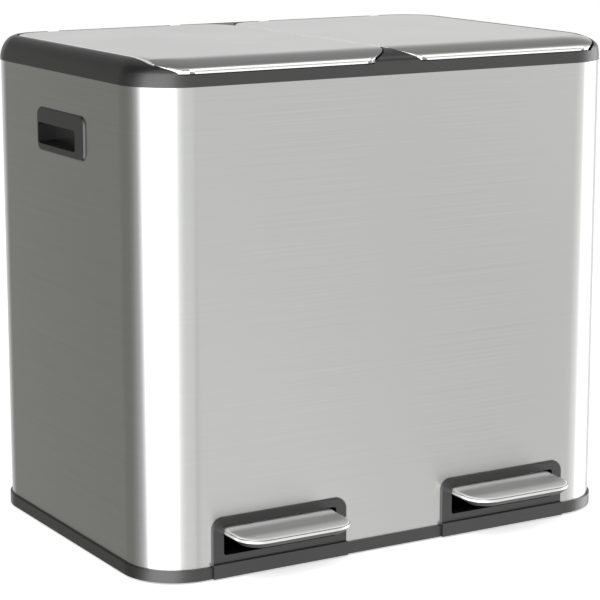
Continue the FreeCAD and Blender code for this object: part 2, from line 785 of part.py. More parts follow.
def rim_screws():
    """Screws that hold the rim down on the ears of the rod channels."""
    body = new_body("rim_screws")
    for name, side in SIDES.items():
        for k, way in enumerate((-1, 1)):
            x = f"{side} * pedal_offset + {way} * rim_screw_x"
            screw(body, f"{name}_{k}", x, "rod_y", "ledge_top", "ledge_top - screw_bite")
    return finish(body)


def pin_span(spot):
    reach = "(knuckle_width / 2 + knuckle_gap + hinge_pin_grip)"
    return f"{spot} - {reach}", f"{spot} + {reach}"


def hinge_circle(grow="0"):
    return circle("hinge_y", "hinge_z", f"hinge_pin_radius + {grow}")


def hinge_pins(name, side):
    body = new_body(f"hinge_pins_{name}")
    for k, spot in enumerate(hinge_spots(side)):
        prism(body, f"pin_{k}", "x", *pin_span(spot), hinge_circle())
    return finish(body)


# ------------------------------------------------------------------------ lids


def lid_forms():
    """Rolled forms at the depth of the skin's inside, the liner's outside and its inside."""
    return {
        "outside": rolled_top("lid_outside"),
        "skin_inside": rolled_top("lid_skin_inside", "lid_sheet"),
        "liner_outside": rolled_top("lid_liner_outside", "liner_inset"),
        "liner_inside": rolled_top("lid_liner_inside", "liner_inside"),
    }


def lid_block(name, side, inset, low):
    body = new_body(name)
    prism(body, name + "_plan", "z", low, "overall_height + 2", lid_plan(side, inset))
    return body


def lid_skin(name, side, forms):
    """Pressed steel cover: flat top, rolled front, hems folded down all round."""
    outer = lid_block(f"skin_block_{name}", side, "0", "lid_edge")
    inner = lid_block(f"skin_core_{name}", side, "lid_sheet", "lid_edge - 2")
    skin = combine("Common", f"skin_outside_{name}", forms["outside"], outer)
    core = combine("Common", f"skin_hollow_{name}", forms["skin_inside"], inner)
    notches = new_body(f"skin_notches_{name}")
    wide, deep = "knuckle_width + 2 * knuckle_gap", "4 * lid_sheet"
    gaps = [box(spot, "lid_rear", wide, deep) for spot in hinge_spots(side)]
    top = "hinge_z + knuckle_radius + seat_gap"
    prism(notches, "notches", "z", "lid_edge - 1", top, several(*gaps))
    taken = combine("Fuse", f"skin_taken_{name}", core, notches)
    return finish(combine("Cut", f"lid_skin_{name}", skin, taken))


def lid_liner(name, side, forms):
    """Black liner inside the skin, with a skirt that drops into the bucket and stiffening ribs."""
    outer = lid_block(f"liner_block_{name}", side, "liner_inset", "liner_bottom")
    inner = lid_block(f"liner_core_{name}", side, "liner_inside", "liner_bottom - 2")
    outside = combine("Common", f"liner_outside_{name}", forms["liner_outside"], outer)
    hollow = combine("Common", f"liner_hollow_{name}", forms["liner_inside"], inner)
    tray = combine("Cut", f"liner_tray_{name}", outside, hollow)

    spots = hinge_spots(side)
    works = new_body(f"liner_works_{name}")
    high = "plate_under + liner_wall / 2"
    rib_long = "well_length - 2 * skirt_inset - skirt_wall"
    rib_across = "well_width - 2 * skirt_inset - skirt_wall"
    prism(works, "skirt", "z", "skirt_bottom", high, well(side, "-skirt_inset"))
    prism(works, "skirt_hollow", "z", "skirt_bottom", high, well(side, "-skirt_inset - skirt_wall"), cut=True)
    long_ribs = [
        box(f"{side} * well_middle_x + {place} * rib_spacing_across", "well_middle_y", "rib_wall", rib_long)
        for place in (-1, 1)
    ]
    prism(works, "long_ribs", "z", "plate_under - rib_drop", high, several(*long_ribs))
    cross_ribs = [
        box(f"{side} * well_middle_x", f"well_middle_y + {place} * rib_spacing_along", rib_across, "rib_wall")
        for place in (-1, 0, 1)
    ]
    prism(works, "cross_ribs", "z", "plate_under - rib_drop", high, several(*cross_ribs))
    arm_front = "(lid_rear - liner_inside)"
    arm_middle, arm_length = f"({arm_front} + hinge_y) / 2", f"hinge_y - {arm_front}"
    arms = [box(spot, arm_middle, "knuckle_width", arm_length) for spot in spots]
    low, up = "hinge_z - knuckle_radius", "hinge_z + knuckle_radius"
    prism(works, "hinge_arms", "z", low, up, several(*arms))
    for k, spot in enumerate(spots):
        knuckle = circle("hinge_y", "hinge_z", "knuckle_radius")
        low, up = f"{spot} - knuckle_width / 2", f"{spot} + knuckle_width / 2"
        prism(works, f"knuckle_{k}", "x", low, up, knuckle)
    bosses = several(*bumper_outlines(side))
    prism(works, "bumper_bosses", "z", "bumper_top", "bumper_top + liner_wall", bosses)
    solid = combine("Fuse", f"liner_solid_{name}", tray, works)

    holes = new_body(f"liner_holes_{name}")
    for k, spot in enumerate(spots):
        prism(holes, f"bore_{k}", "x", *pin_span(spot), hinge_circle("running_gap"))
    screws = several(*crank_screw_outlines(side))
    prism(holes, "screws", "z", "plate_under - 1", "plate_under + screw_reach", screws)
    return finish(combine("Cut", f"lid_liner_{name}", solid, holes))


def bumper_outlines(side):
    spots = [f"{side} * well_middle_x + {way} * bumper_spread" for way in (-1, 1)]
    return [circle(x, "bumper_y", "bumper_radius") for x in spots]


def crank_screw_outlines(side):
    spots = [f"{side} * pedal_offset + {way} * crank_screw_x" for way in (-1, 1)]
    return [circle(x, "crank_screw_y", "screw_radius") for x in spots]


def lid_bumpers(name, side):
    body = new_body(f"lid_bumpers_{name}")
    prism(body, "bumpers", "z", "ledge_top + near_gap", "bumper_top", several(*bumper_outlines(side)))
    return finish(body)


def lid_crank(name, side):
    """Steel bracket under the lid: a flange on the liner and an arm that ends in the crank pin."""
    body = new_body(f"lid_crank_{name}")
    lane = f"{side} * pedal_offset"
    middle, length = "(crank_flange_front + crank_flange_rear) / 2", "crank_flange_rear - crank_flange_front"
    flange = rounded(lane, middle, "crank_flange_width", length, "crank_flange_corner")
    prism(body, "flange", "z", "crank_flange_z", "plate_under", flange)
    low, high = f"{lane} - crank_sheet / 2", f"{lane} + crank_sheet / 2"
    arm = polygon(
        ("crank_flange_front + crank_arm_inset", "crank_flange_z + crank_flange_wall / 2"),
        ("crank_pin_y - crank_end_radius", "crank_pin_z"),
        ("crank_pin_y + crank_end_radius", "crank_pin_z"),
        ("crank_flange_rear - crank_arm_inset", "crank_flange_z + crank_flange_wall / 2"),
    )
    prism(body, "arm", "x", low, high, arm)
    prism(body, "arm_end", "x", low, high, circle("crank_pin_y", "crank_pin_z", "crank_end_radius"))
    half = "crank_pin_length / 2"
    pin = circle("crank_pin_y", "crank_pin_z", "crank_pin_radius")
    prism(body, "crank_pin", "x", f"{lane} - {half}", f"{lane} + {half}", pin)
    holes = several(*crank_screw_outlines(side))
    prism(body, "screw_holes", "z", "crank_flange_z", "plate_under", holes, cut=True)
    return finish(body)


def lid_screws(name, side):
    body = new_body(f"lid_screws_{name}")
    for k, way in enumerate((-1, 1)):
        x = f"{side} * pedal_offset + {way} * crank_screw_x"
        screw(body, f"screw_{k}", x, "crank_screw_y", "crank_flange_z", "plate_under + screw_reach")
    return finish(body)


# ------------------------------------------------------- lift rods and dampers


def rod_head(name, side):
    """Forked head: the crank's arm swings in the fork and its pin floats in the level slot."""
    body = new_body(f"rod_head_{name}")
    lane = f"{side} * pedal_offset"
    depth = "head_rear - head_front"
    outline = rounded(lane, "rod_y", "head_width", depth, "head_corner")
    prism(body, "block", "z", "head_bottom", "head_z", outline)
    fork = box(lane, "rod_y", "crank_sheet + 2 * fork_gap", f"{depth} + 2")
    prism(body, "fork", "z", "fork_z", "head_z", fork, cut=True)
    tall = "2 * (crank_pin_radius + slot_float)"
    slot = rounded("rod_y", "crank_pin_z", f"{depth} - 2 * head_cheek", tall, "crank_pin_radius")
    low, high = f"{lane} - head_width / 2 - 1", f"{lane} + head_width / 2 + 1"
    prism(body, "pin_slot", "x", low, high, slot, cut=True)
    seat = circle(lane, "rod_y", "rod_radius")
    prism(body, "rod_seat", "z", "head_bottom", "fork_z - head_socket_roof", seat, cut=True)
    return finish(body)


def lift_rod(name, side):
    body = new_body(f"lift_rod_{name}")
    rod = circle(f"{side} * pedal_offset", "rod_y", "rod_radius")
    prism(body, "rod", "z", "foot_z + foot_socket_floor", "fork_z - head_socket_roof", rod)
    return finish(body)


def rod_foot(name, side):
    """Plastic shoe that rests on the lever's saddle."""
    body = new_body(f"rod_foot_{name}")
    lane = f"{side} * pedal_offset"
    prism(body, "shoe", "z", "foot_z", "foot_z + foot_height", circle(lane, "rod_y", "foot_radius"))
    seat = circle(lane, "rod_y", "rod_radius")
    prism(body, "rod_seat", "z", "foot_z + foot_socket_floor", "foot_z + foot_height", seat, cut=True)
    low = value("foot_z")
    dress(body, "soft_rim", "Fillet", "foot_edge", lambda edge: edge.BoundBox.ZMax < low + NEAR)
    return finish(body)


def rod_channel(name, side):
    """Tall guide box behind a bucket: it stands on the base, carries the rim and guides the rod."""
    body = new_body(f"rod_channel_{name}")
    lane = f"{side} * pedal_offset"
    middle, depth = "(channel_front + channel_rear) / 2", "channel_rear - channel_front"
    prism(body, "tube", "z", "channel_bottom", "channel_top", box(lane, middle, "channel_width", depth))
    inner_front, inner_rear = "channel_front + channel_wall", "channel_rear - channel_wall"
    inner_wide = "channel_width - 2 * channel_wall"
    bore = box(lane, f"({inner_front} + {inner_rear}) / 2", inner_wide, f"{inner_rear} - ({inner_front})")
    prism(body, "bore", "z", "channel_bottom", "channel_top", bore, cut=True)
    for k, level in enumerate(("guide_low", "guide_high")):
        rear = inner_rear
        front = inner_front if level == "guide_low" else "rod_y - rod_radius - guide_land"
        plate = box(lane, f"({front} + {rear}) / 2", f"{inner_wide} + 1", f"{rear} - ({front}) + 1")
        prism(body, f"guide_{k}", "z", level, f"{level} + guide_wall", plate)
        hole = circle(lane, "rod_y", "rod_radius + running_gap")
        prism(body, f"guide_hole_{k}", "z", level, f"{level} + guide_wall", hole, cut=True)
    for k, way in enumerate((-1, 1)):
        x = f"{lane} + {way} * (channel_width / 2 + channel_ear / 2 - channel_wall / 2)"
        ear = box(x, "rod_y", "channel_ear + channel_wall", "channel_ear")
        prism(body, f"ear_{k}", "z", "channel_top - channel_ear_wall", "channel_top", ear)
        hole = circle(f"{lane} + {way} * rim_screw_x", "rod_y", "screw_radius")
        prism(body, f"ear_hole_{k}", "z", "channel_top - channel_ear_wall", "channel_top", hole, cut=True)
    leg = box(lane, "channel_rear - channel_wall / 2", "channel_width", "channel_wall")
    prism(body, "leg", "z", "floor_top", "channel_bottom + 1", leg)
    foot = box(lane, "channel_rear - channel_foot / 2", "channel_width", "channel_foot")
    prism(body, "foot", "z", "floor_top", "floor_top + channel_foot_height", foot)
    for k, way in enumerate((-1, 1)):
        hole = circle(f"{lane} + {way} * base_screw_x", "base_screw_y", "screw_radius")
        prism(body, f"foot_hole_{k}", "z", "floor_top", "floor_top + channel_foot_height", hole, cut=True)
    return finish(body)


def damper_cylinder(name, side):
    """Air damper: a closed tube with a bored cap."""
    body = new_body(f"damper_cylinder_{name}")
    lane = f"{side} * pedal_offset"
    top = "damper_bottom + damper_length"
    prism(body, "tube", "z", "damper_bottom", top, circle(lane, "damper_y", "damper_radius"))
    bore = circle(lane, "damper_y", "damper_radius - damper_wall")
    prism(body, "bore", "z", "damper_bottom + damper_wall", f"{top} - 2 * damper_wall", bore, cut=True)
    gland = circle(lane, "damper_y", "piston_rod_radius + running_gap")
    prism(body, "gland", "z", f"{top} - damper_gland", top, gland, cut=True)
    return finish(body)


def damper_piston(name, side):
    body = new_body(f"damper_piston_{name}")
    lane = f"{side} * pedal_offset"
    low = "damper_bottom + piston_lift"
    piston = circle(lane, "damper_y", "damper_radius - damper_wall - running_gap")
    prism(body, "piston", "z", low, f"{low} + piston_height", piston)
    rod = circle(lane, "damper_y", "piston_rod_radius")
    prism(body, "piston_rod", "z", low, "clamp_place + clamp_height - clamp_cap", rod)
    return finish(body)


def damper_clamp(name, side):
    """Block that ties the damper's piston rod to the lift rod."""
    body = new_body(f"damper_clamp_{name}")
    lane = f"{side} * pedal_offset"
    middle = "(rod_y + damper_y) / 2"
    outline = rounded(lane, middle, "clamp_width", "damper_spacing + clamp_width", "clamp_corner")
    prism(body, "block", "z", "clamp_place", "clamp_place + clamp_height", outline)
    rod = circle(lane, "rod_y", "rod_radius")
    prism(body, "rod_hole", "z", "clamp_place", "clamp_place + clamp_height", rod, cut=True)
    seat = circle(lane, "damper_y", "piston_rod_radius")
    prism(body, "piston_seat", "z", "clamp_place", "clamp_place + clamp_height - clamp_cap", seat, cut=True)
    return finish(body)


def base_screws():
    """Screws through the tray's floor into the feet of the rod channels."""
    body = new_body("base_screws")
    for name, side in SIDES.items():
        for k, way in enumerate((-1, 1)):
            x = f"{side} * pedal_offset + {way} * base_screw_x"
            seat, point = "base_bottom + screw_head_height", "floor_top + channel_foot_height - screw_edge"
            screw(body, f"{name}_{k}", x, "base_screw_y", seat, point)
    return finish(body)


# ---------------------------------------------------------------------- pedals


def lever_line(y):
    """Height of the lever's centre line behind its pivot."""
    return f"(pivot_height - travel / 2 * (({y}) - pivot_y) / rear_arm)"


def lever_side(drop, undercut, trim):
    """Side outline of the lever: low at the back, deep at the pivot, level under the pedal."""
    rear = f"lever_rear + ({trim})"
    front = f"face_front - tongue_length - ({trim})"
    bend = "pivot_y - tongue_bend"
    return polygon(
        (rear, f"{lever_line(rear)} + lever_tip_depth / 2 - ({drop})"),
        ("pivot_y", f"pivot_height + lever_depth / 2 - ({drop})"),
        (bend, f"tongue_top - ({drop})"),
        (front, f"tongue_top - ({drop})"),
        (front, f"tongue_bottom - ({undercut})"),
        (bend, f"tongue_bottom - ({undercut})"),
        ("pivot_y", f"pivot_height - lever_depth / 2 - ({undercut})"),
        (rear, f"{lever_line(rear)} - lever_tip_depth / 2 - ({undercut})"),
    )


def pedal_lever(name, side):
    """Pressed steel channel, open underneath, on its pivot pin."""
    body = new_body(f"pedal_lever_{name}")
    lane = f"{side} * pedal_offset"
    half, inner = "lever_width / 2", "(lever_width / 2 - lever_sheet)"
    prism(body, "bar", "x", f"{lane} - {half}", f"{lane} + {half}", lever_side("0", "0", "0"))
    channel = lever_side("lever_sheet", "2", "2")
    prism(body, "channel", "x", f"{lane} - {inner}", f"{lane} + {inner}", channel, cut=True)
    bore = circle("pivot_y", "pivot_height", "lever_pin_radius + running_gap")
    prism(body, "pin_bore", "x", f"{lane} - {half} - 1", f"{lane} + {half} + 1", bore, cut=True)
    for k, y in enumerate(RIVETS):
        hole = circle(lane, y, "rivet_radius")
        prism(body, f"rivet_hole_{k}", "z", "tongue_bottom", "tongue_top + 1", hole, cut=True)
    return finish(body)


RIVETS = ("face_front - rivet_setback", "face_front - rivet_setback - rivet_spacing")


def pedal_rivets(name, side):
    """Rivets through the lever's tongue into the pad."""
    body = new_body(f"pedal_rivets_{name}")
    lane = f"{side} * pedal_offset"
    seat = "(tongue_top - lever_sheet)"
    for k, y in enumerate(RIVETS):
        prism(body, f"shank_{k}", "z", seat, "pad_roof", circle(lane, y, "rivet_radius"))
        prism(body, f"head_{k}", "z", f"{seat} - rivet_head_height", seat, circle(lane, y, "rivet_head"))
    return finish(body)


def lever_pin(name, side):
    body = new_body(f"lever_pin_{name}")
    lane = f"{side} * pedal_offset"
    pin = circle("pivot_y", "pivot_height", "lever_pin_radius")
    prism(body, "pin", "x", f"{lane} - cheek_reach", f"{lane} + cheek_reach", pin)
    return finish(body)


def lever_saddle(name, side):
    """Rounded plastic end of the lever, with a shank held in the channel."""
    body = new_body(f"lever_saddle_{name}")
    lane = f"{side} * pedal_offset"
    half = "(lever_width / 2 - lever_sheet)"
    low, high = f"{lane} - {half}", f"{lane} + {half}"
    prism(body, "saddle", "x", low, high, circle("rod_y", "saddle_z", "saddle_radius"))
    front, rear = "rod_y - saddle_shank", "rod_y"
    under, over = "lever_tip_depth / 2 - shank_clearance", "lever_tip_depth / 2 - lever_sheet"
    shank = polygon(
        (front, f"{lever_line(front)} - ({under})"),
        (rear, f"{lever_line(rear)} - ({under})"),
        (rear, f"{lever_line(rear)} + {over}"),
        (front, f"{lever_line(front)} + {over}"),
    )
    prism(body, "shank", "x", low, high, shank)
    return finish(body)


def pedal_shape(lane, inset):
    """Plan outline of the pedal, moved inwards by a distance at its front and sides."""
    width, corner = f"pedal_width - 2 * ({inset})", f"pedal_corner - ({inset})"
    return pedal_plan(lane, f"(pedal_front + ({inset}))", "pedal_rear", width, corner)


def pedal_form(body, name, lane, inset, cut=False):
    """Pedal above its hem, its top bevelled at the front and the sides."""
    shoulder, top = f"pedal_top - pedal_bevel_drop - ({inset})", f"pedal_top - ({inset})"
    prism(body, name + "_wall", "z", "pedal_hem", shoulder, pedal_shape(lane, inset), cut)
    lower, upper = pedal_shape(lane, inset), pedal_shape(lane, f"({inset}) + pedal_bevel")
    loft(body, name + "_bevel", (shoulder, lower), (top, upper), cut)


def pedal_plan(x, front, rear, width, corner):
    """Outline: a rectangle whose two front corners are round."""

    def draw(sketch):
        half = f"(({width}) / 2)"
        low, high = f"({front})", f"({rear})"
        near, far = f"(({x}) - {half})", f"(({x}) + {half})"
        r = value(corner)
        x0, x1, y0, y1 = value(near), value(far), value(low), value(high)
        up = FreeCAD.Vector(0, 0, 1)
        left_arc = Part.Circle(FreeCAD.Vector(x0 + r, y0 + r, 0), up, r)
        right_arc = Part.Circle(FreeCAD.Vector(x1 - r, y0 + r, 0), up, r)
        quarter = 1.5707963267948966
        pieces = [
            Part.ArcOfCircle(left_arc, 2 * quarter, 3 * quarter),
            Part.LineSegment(FreeCAD.Vector(x0 + r, y0, 0), FreeCAD.Vector(x1 - r, y0, 0)),
            Part.ArcOfCircle(right_arc, 3 * quarter, 4 * quarter),
            Part.LineSegment(FreeCAD.Vector(x1, y0 + r, 0), FreeCAD.Vector(x1, y1, 0)),
            Part.LineSegment(FreeCAD.Vector(x1, y1, 0), FreeCAD.Vector(x0, y1, 0)),
            Part.LineSegment(FreeCAD.Vector(x0, y1, 0), FreeCAD.Vector(x0, y0 + r, 0)),
        ]
        k = sketch.addGeometry(pieces)[0]
        for a, b in ((k, k + 1), (k + 1, k + 2), (k + 2, k + 3), (k + 5, k)):
            sketch.addConstraint(Sketcher.Constraint("Tangent", a, 2, b, 1))
        for a, b in ((k + 3, k + 4), (k + 4, k + 5)):
            sketch.addConstraint(Sketcher.Constraint("Coincident", a, 2, b, 1))
        tie(sketch, "DistanceX", k, 3, f"{near} + ({corner})")
        tie(sketch, "DistanceY", k, 3, f"{low} + ({corner})")
        tie(sketch, "DistanceX", k + 2, 3, f"{far} - ({corner})")
        tie(sketch, "DistanceY", k + 2, 3, f"{low} + ({corner})")
        tie(sketch, "DistanceX", k + 4, 1, far)
        tie(sketch, "DistanceY", k + 4, 1, high)
        tie(sketch, "DistanceX", k + 5, 1, near)
        tie(sketch, "DistanceY", k + 5, 1, high)
        size = sketch.addConstraint(Sketcher.Constraint("Radius", k, r))
        sketch.setExpression(f"Constraints[{size}]", formula(corner))
        sketch.addConstraint(Sketcher.Constraint("Equal", k, k + 2))

    return draw


def pedal_cover(name, side):
    """Pressed steel cap over the pad."""
    body = new_body(f"pedal_cover_{name}")
    lane = f"{side} * pedal_offset"
    pedal_form(body, "cap", lane, "0")
    pedal_form(body, "hollow", lane, "pedal_sheet", cut=True)
    return finish(body)


def pedal_pad(name, side):
    """Black plastic pad under the cap, slotted underneath for the lever's tongue."""
    body = new_body(f"pedal_pad_{name}")
    lane = f"{side} * pedal_offset"
    pedal_form(body, "pad", lane, "pad_inset")
    lower = ("pedal_underside", pedal_shape(lane, "pad_inset + pad_taper"))
    loft(body, "keel", lower, ("pedal_hem", pedal_shape(lane, "pad_inset")))
    front, rear = "(face_front - tongue_length - near_gap)", "(pedal_rear + 1)"
    slot = box(lane, f"({front} + {rear}) / 2", "lever_width + 2 * near_gap", f"{rear} - {front}")
    prism(body, "slot", "z", "pedal_underside - 1", "tongue_top", slot, cut=True)
    for k, y in enumerate(RIVETS):
        hole = circle(lane, y, "rivet_radius")
        prism(body, f"rivet_hole_{k}", "z", "tongue_top - 1", "pad_roof", hole, cut=True)
    return finish(body)


def lever_stops():
    """Rubber blocks on the tray's floor that the levers rest on."""
    body = new_body("lever_stops")
    for name, side in SIDES.items():
        top = f"{lever_line('stop_place + stop_length / 2')} - lever_tip_depth / 2 - stop_gap"
        block = box(f"{side} * pedal_offset", "stop_place", "lever_width", "stop_length")
        prism(body, f"stop_{name}", "z", "floor_top", top, block)
    return finish(body)


def pedal_bezel(name, side):
    """Black frame round a pedal, with a collar through the steel."""
    body = new_body(f"pedal_bezel_{name}")
    lane = f"{side} * pedal_offset"
    height = "bezel_top - bezel_bottom"
    face = box(lane, "(bezel_top + bezel_bottom) / 2", "bezel_width", height)
    front = "face_front - bezel_proud"
    prism(body, "frame", "y", front, "face_front", face)
    upper, lower = "(bezel_top - bezel_collar - collar_gap)", "(bezel_bottom + near_gap)"
    collar_wide = "bezel_width - 2 * bezel_collar - 2 * collar_gap"
    collar = box(lane, f"({upper} + {lower}) / 2", collar_wide, f"{upper} - {lower}")
    prism(body, "collar", "y", "face_front", "face_front + bezel_depth", collar)
    rise = "bezel_opening_top - bezel_opening_bottom"
    middle = "(bezel_opening_top + bezel_opening_bottom) / 2"
    opening = rounded(lane, middle, "bezel_opening_width", rise, "bezel_opening_corner")
    prism(body, "opening", "y", f"{front} - 1", "face_front + bezel_depth + 1", opening, cut=True)

    def upper_corner(edge):
        bounds = edge.BoundBox
        level = bounds.XLength < NEAR and bounds.ZLength < NEAR
        return level and abs(bounds.ZMax - value("bezel_top")) < NEAR

    dress(body, "round_corners", "Fillet", "bezel_corner", upper_corner)

    def front_edge(edge):
        bounds = edge.BoundBox
        flat = bounds.YMax < value(front) + NEAR
        outside = abs(bounds.Center.x - value(lane)) > value("bezel_opening_width / 2") + NEAR
        return flat and (outside or bounds.ZMax > value("bezel_top") - NEAR)

    dress(body, "soft_edge", "Fillet", "bezel_bevel", front_edge)
    return finish(body)


# --------------------------------------------------------------------- handles


def handle_cup(name, side):
    """Recessed carrying handle: a lip on the steel, a cup behind it and room to hook the fingers up."""
    body = new_body(f"handle_cup_{name}")
    face = rounded("handle_centre_y", "handle_middle", "handle_length", "handle_height", "handle_corner")
    low, high = between(side, "body_width / 2", "body_width / 2 + handle_proud")
    prism(body, "lip", "x", low, high, face)
    fit = "(handle_lip + seat_gap)"
    cup_long, cup_high = f"handle_length - 2 * {fit}", f"handle_height - 2 * {fit}"
    cup = rounded("handle_centre_y", "handle_middle", cup_long, cup_high, "cup_corner - seat_gap")
    low, high = between(side, "body_width / 2 - handle_depth", "body_width / 2")
    prism(body, "cup", "x", low, high, cup)
    middle, tall = "(cup_roof + grip_bottom) / 2", "cup_roof - grip_bottom"
    inside = rounded("grip_centre_y", middle, "grip_length", tall, "grip_corner")
    low, high = between(side, "body_width / 2 - handle_depth + handle_wall", "body_width / 2 - handle_wall")
    prism(body, "hollow", "x", low, high, inside, cut=True)
    middle = "grip_bottom + grip_height / 2"
    mouth = rounded("grip_centre_y", middle, "grip_length", "grip_height", "grip_corner")
    low, high = between(side, "body_width / 2 - handle_wall - 1", "body_width / 2 + handle_proud + 1")
    prism(body, "mouth", "x", low, high, mouth, cut=True)

    def outer_edge(edge):
        bounds = edge.BoundBox
        on_face = abs(abs(bounds.Center.x) - value("body_width / 2 + handle_proud")) < NEAR
        reach = max(abs(bounds.YMin - value("handle_centre_y")), abs(bounds.YMax - value("handle_centre_y")))
        climb = max(abs(bounds.ZMin - value("handle_middle")), abs(bounds.ZMax - value("handle_middle")))
        at_rim = reach > value("handle_length / 2") - NEAR or climb > value("handle_height / 2") - NEAR
        return on_face and bounds.XLength < NEAR and at_rim

    dress(body, "soft_edge", "Chamfer", "handle_bevel", outer_edge)
    return finish(body)


# --------------------------------------------------------------------- buckets


def inner_bucket(name, side):
    """Tapered bucket that hangs in the rim by its flange."""
    body = new_body(f"inner_bucket_{name}")
    top = ("ledge_top", well(side, "-bucket_fit"))
    bottom = ("bucket_bottom", well(side, "-bucket_fit - bucket_taper"))
    loft(body, "shell", bottom, top)
    prism(body, "flange", "z", "ledge_top", "bucket_rim", well(side, "bucket_flange"))
    inside_top = ("bucket_rim", well(side, "-bucket_fit - bucket_wall"))
    inside_bottom = ("bucket_bottom + bucket_wall", well(side, "-bucket_fit - bucket_taper - bucket_wall"))
    loft(body, "hollow", inside_bottom, inside_top, cut=True)
    return finish(body)


# ------------------------------------------------------------------ build it all

steel_body()
seam_strip()
base_tray()
rubber_feet()
top_rim()
rim_screws()
base_screws()
lever_stops()
lid_shapes = lid_forms()
for side_name, side_sign in SIDES.items():
    pedal_bezel(side_name, side_sign)
    handle_cup(side_name, side_sign)
    inner_bucket(side_name, side_sign)
    rod_channel(side_name, side_sign)
    damper_cylinder(side_name, side_sign)
    lever_pin(side_name, side_sign)
    hinge_pins(side_name, side_sign)
    pedal_lever(side_name, side_sign)
    pedal_pad(side_name, side_sign)
    pedal_cover(side_name, side_sign)
    pedal_rivets(side_name, side_sign)
    lever_saddle(side_name, side_sign)
    lift_rod(side_name, side_sign)
    rod_head(side_name, side_sign)
    rod_foot(side_name, side_sign)
    damper_piston(side_name, side_sign)
    damper_clamp(side_name, side_sign)
    lid_skin(side_name, side_sign, lid_shapes)
    lid_liner(side_name, side_sign, lid_shapes)
    lid_crank(side_name, side_sign)
    lid_bumpers(side_name, side_sign)
    lid_screws(side_name, side_sign)
doc.recompute()

# --------------------------------------------------------------- check and write

for item in doc.Objects:
    if "Invalid" in item.State or "Error" in item.State:
        raise RuntimeError(f"{item.Label} failed: {item.State}")
os.makedirs("parts", exist_ok=True)
for node in NODES:
    if node.Shape.isNull() or not node.Shape.isValid():
        raise RuntimeError(f"{node.Label} has no valid shape")
    node.Shape.exportStep(f"parts/{node.Label}.step")
    print(node.Label, "solids", len(node.Shape.Solids), "volume", round(node.Shape.Volume))
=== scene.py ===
import math

import bmesh
import bpy
from mathutils import Matrix, Vector


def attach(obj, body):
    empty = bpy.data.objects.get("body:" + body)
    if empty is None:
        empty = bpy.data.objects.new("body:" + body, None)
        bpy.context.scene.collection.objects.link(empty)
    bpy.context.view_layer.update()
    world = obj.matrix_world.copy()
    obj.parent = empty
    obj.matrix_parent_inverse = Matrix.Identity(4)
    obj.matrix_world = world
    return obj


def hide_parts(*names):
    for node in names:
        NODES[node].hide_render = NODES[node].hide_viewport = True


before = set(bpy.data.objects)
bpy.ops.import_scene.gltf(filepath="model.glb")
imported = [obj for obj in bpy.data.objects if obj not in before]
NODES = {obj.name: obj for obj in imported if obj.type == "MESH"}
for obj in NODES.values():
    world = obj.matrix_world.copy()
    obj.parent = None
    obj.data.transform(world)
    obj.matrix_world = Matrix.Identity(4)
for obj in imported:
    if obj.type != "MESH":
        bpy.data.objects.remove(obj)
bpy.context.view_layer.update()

SIDES = {"left": -1, "right": 1}

# ------------------------------------------------------------------ node helpers


class Graph:
    """Small helper for node trees: makes nodes, sets their sockets and links them."""

    def __init__(self, tree):
        self.tree = tree
        tree.nodes.clear()

    def put(self, socket, value):
        """Links an output to the socket, or sets the socket to a plain value."""
        if hasattr(value, "is_output"):
            self.tree.links.new(value, socket)
        else:
            socket.default_value = value

    def node(self, kind, settings=None, **sockets):
        """Node with its settings and sockets; an underscore stands for a space in a name."""
        made = self.tree.nodes.new(kind)
        for name, value in (settings or {}).items():
            setattr(made, name, value)
        for name, value in sockets.items():
            self.put(made.inputs[name.replace("_", " ")], value)
        return made

    def math(self, operation, *values):
        made = self.tree.nodes.new("ShaderNodeMath")
        made.operation = operation
        for socket, value in zip(made.inputs, values):
            self.put(socket, value)
        return made.outputs[0]

    def ramp(self, value, stops, interpolation="LINEAR"):
        """Grey or coloured ramp through (place, value) stops."""
        made = self.tree.nodes.new("ShaderNodeValToRGB")
        made.color_ramp.interpolation = interpolation
        elements = made.color_ramp.elements
        while len(elements) < len(stops):
            elements.new(1.0)
        for element, (place, colour) in zip(elements, stops):
            element.position = place
            grey = isinstance(colour, (int, float))
            element.color = (colour,) * 3 + (1,) if grey else (*colour, 1)
        self.put(made.inputs["Fac"], value)
        return made.outputs["Color"]

    def span(self, value, low, high, to_low=0.0, to_high=1.0):
        """Value moved from one range to another."""
        made = self.tree.nodes.new("ShaderNodeMapRange")
        for socket, number in zip(made.inputs[:5], (value, low, high, to_low, to_high)):
            self.put(socket, number)
        return made.outputs[0]

    def noise(self, vector, scale, detail=2.0, roughness=0.5):
        made = self.node(
            "ShaderNodeTexNoise", Vector=vector, Scale=scale, Detail=detail, Roughness=roughness
        )
        return made.outputs["Fac"]

    def stretch(self, vector, scale):
        """Coordinates scaled along each axis."""
        made = self.node("ShaderNodeMapping", Vector=vector)
        made.inputs["Scale"].default_value = scale
        return made.outputs[0]

    def place(self):
        """The object's own coordinates."""
        return self.node("ShaderNodeTexCoord").outputs["Object"]

    def bump(self, height, strength, distance):
        made = self.node("ShaderNodeBump", Height=height, Strength=strength, Distance=distance)
        return made.outputs["Normal"]


def new_material(name):
    """Material with one principled shader, its node graph and the shader."""
    material = bpy.data.materials.new(name)
    material.use_nodes = True
    graph = Graph(material.node_tree)
    shader = graph.node("ShaderNodeBsdfPrincipled")
    output = graph.node("ShaderNodeOutputMaterial")
    graph.tree.links.new(shader.outputs["BSDF"], output.inputs["Surface"])
    return material, graph, shader


# --------------------------------------------------------------------- materials


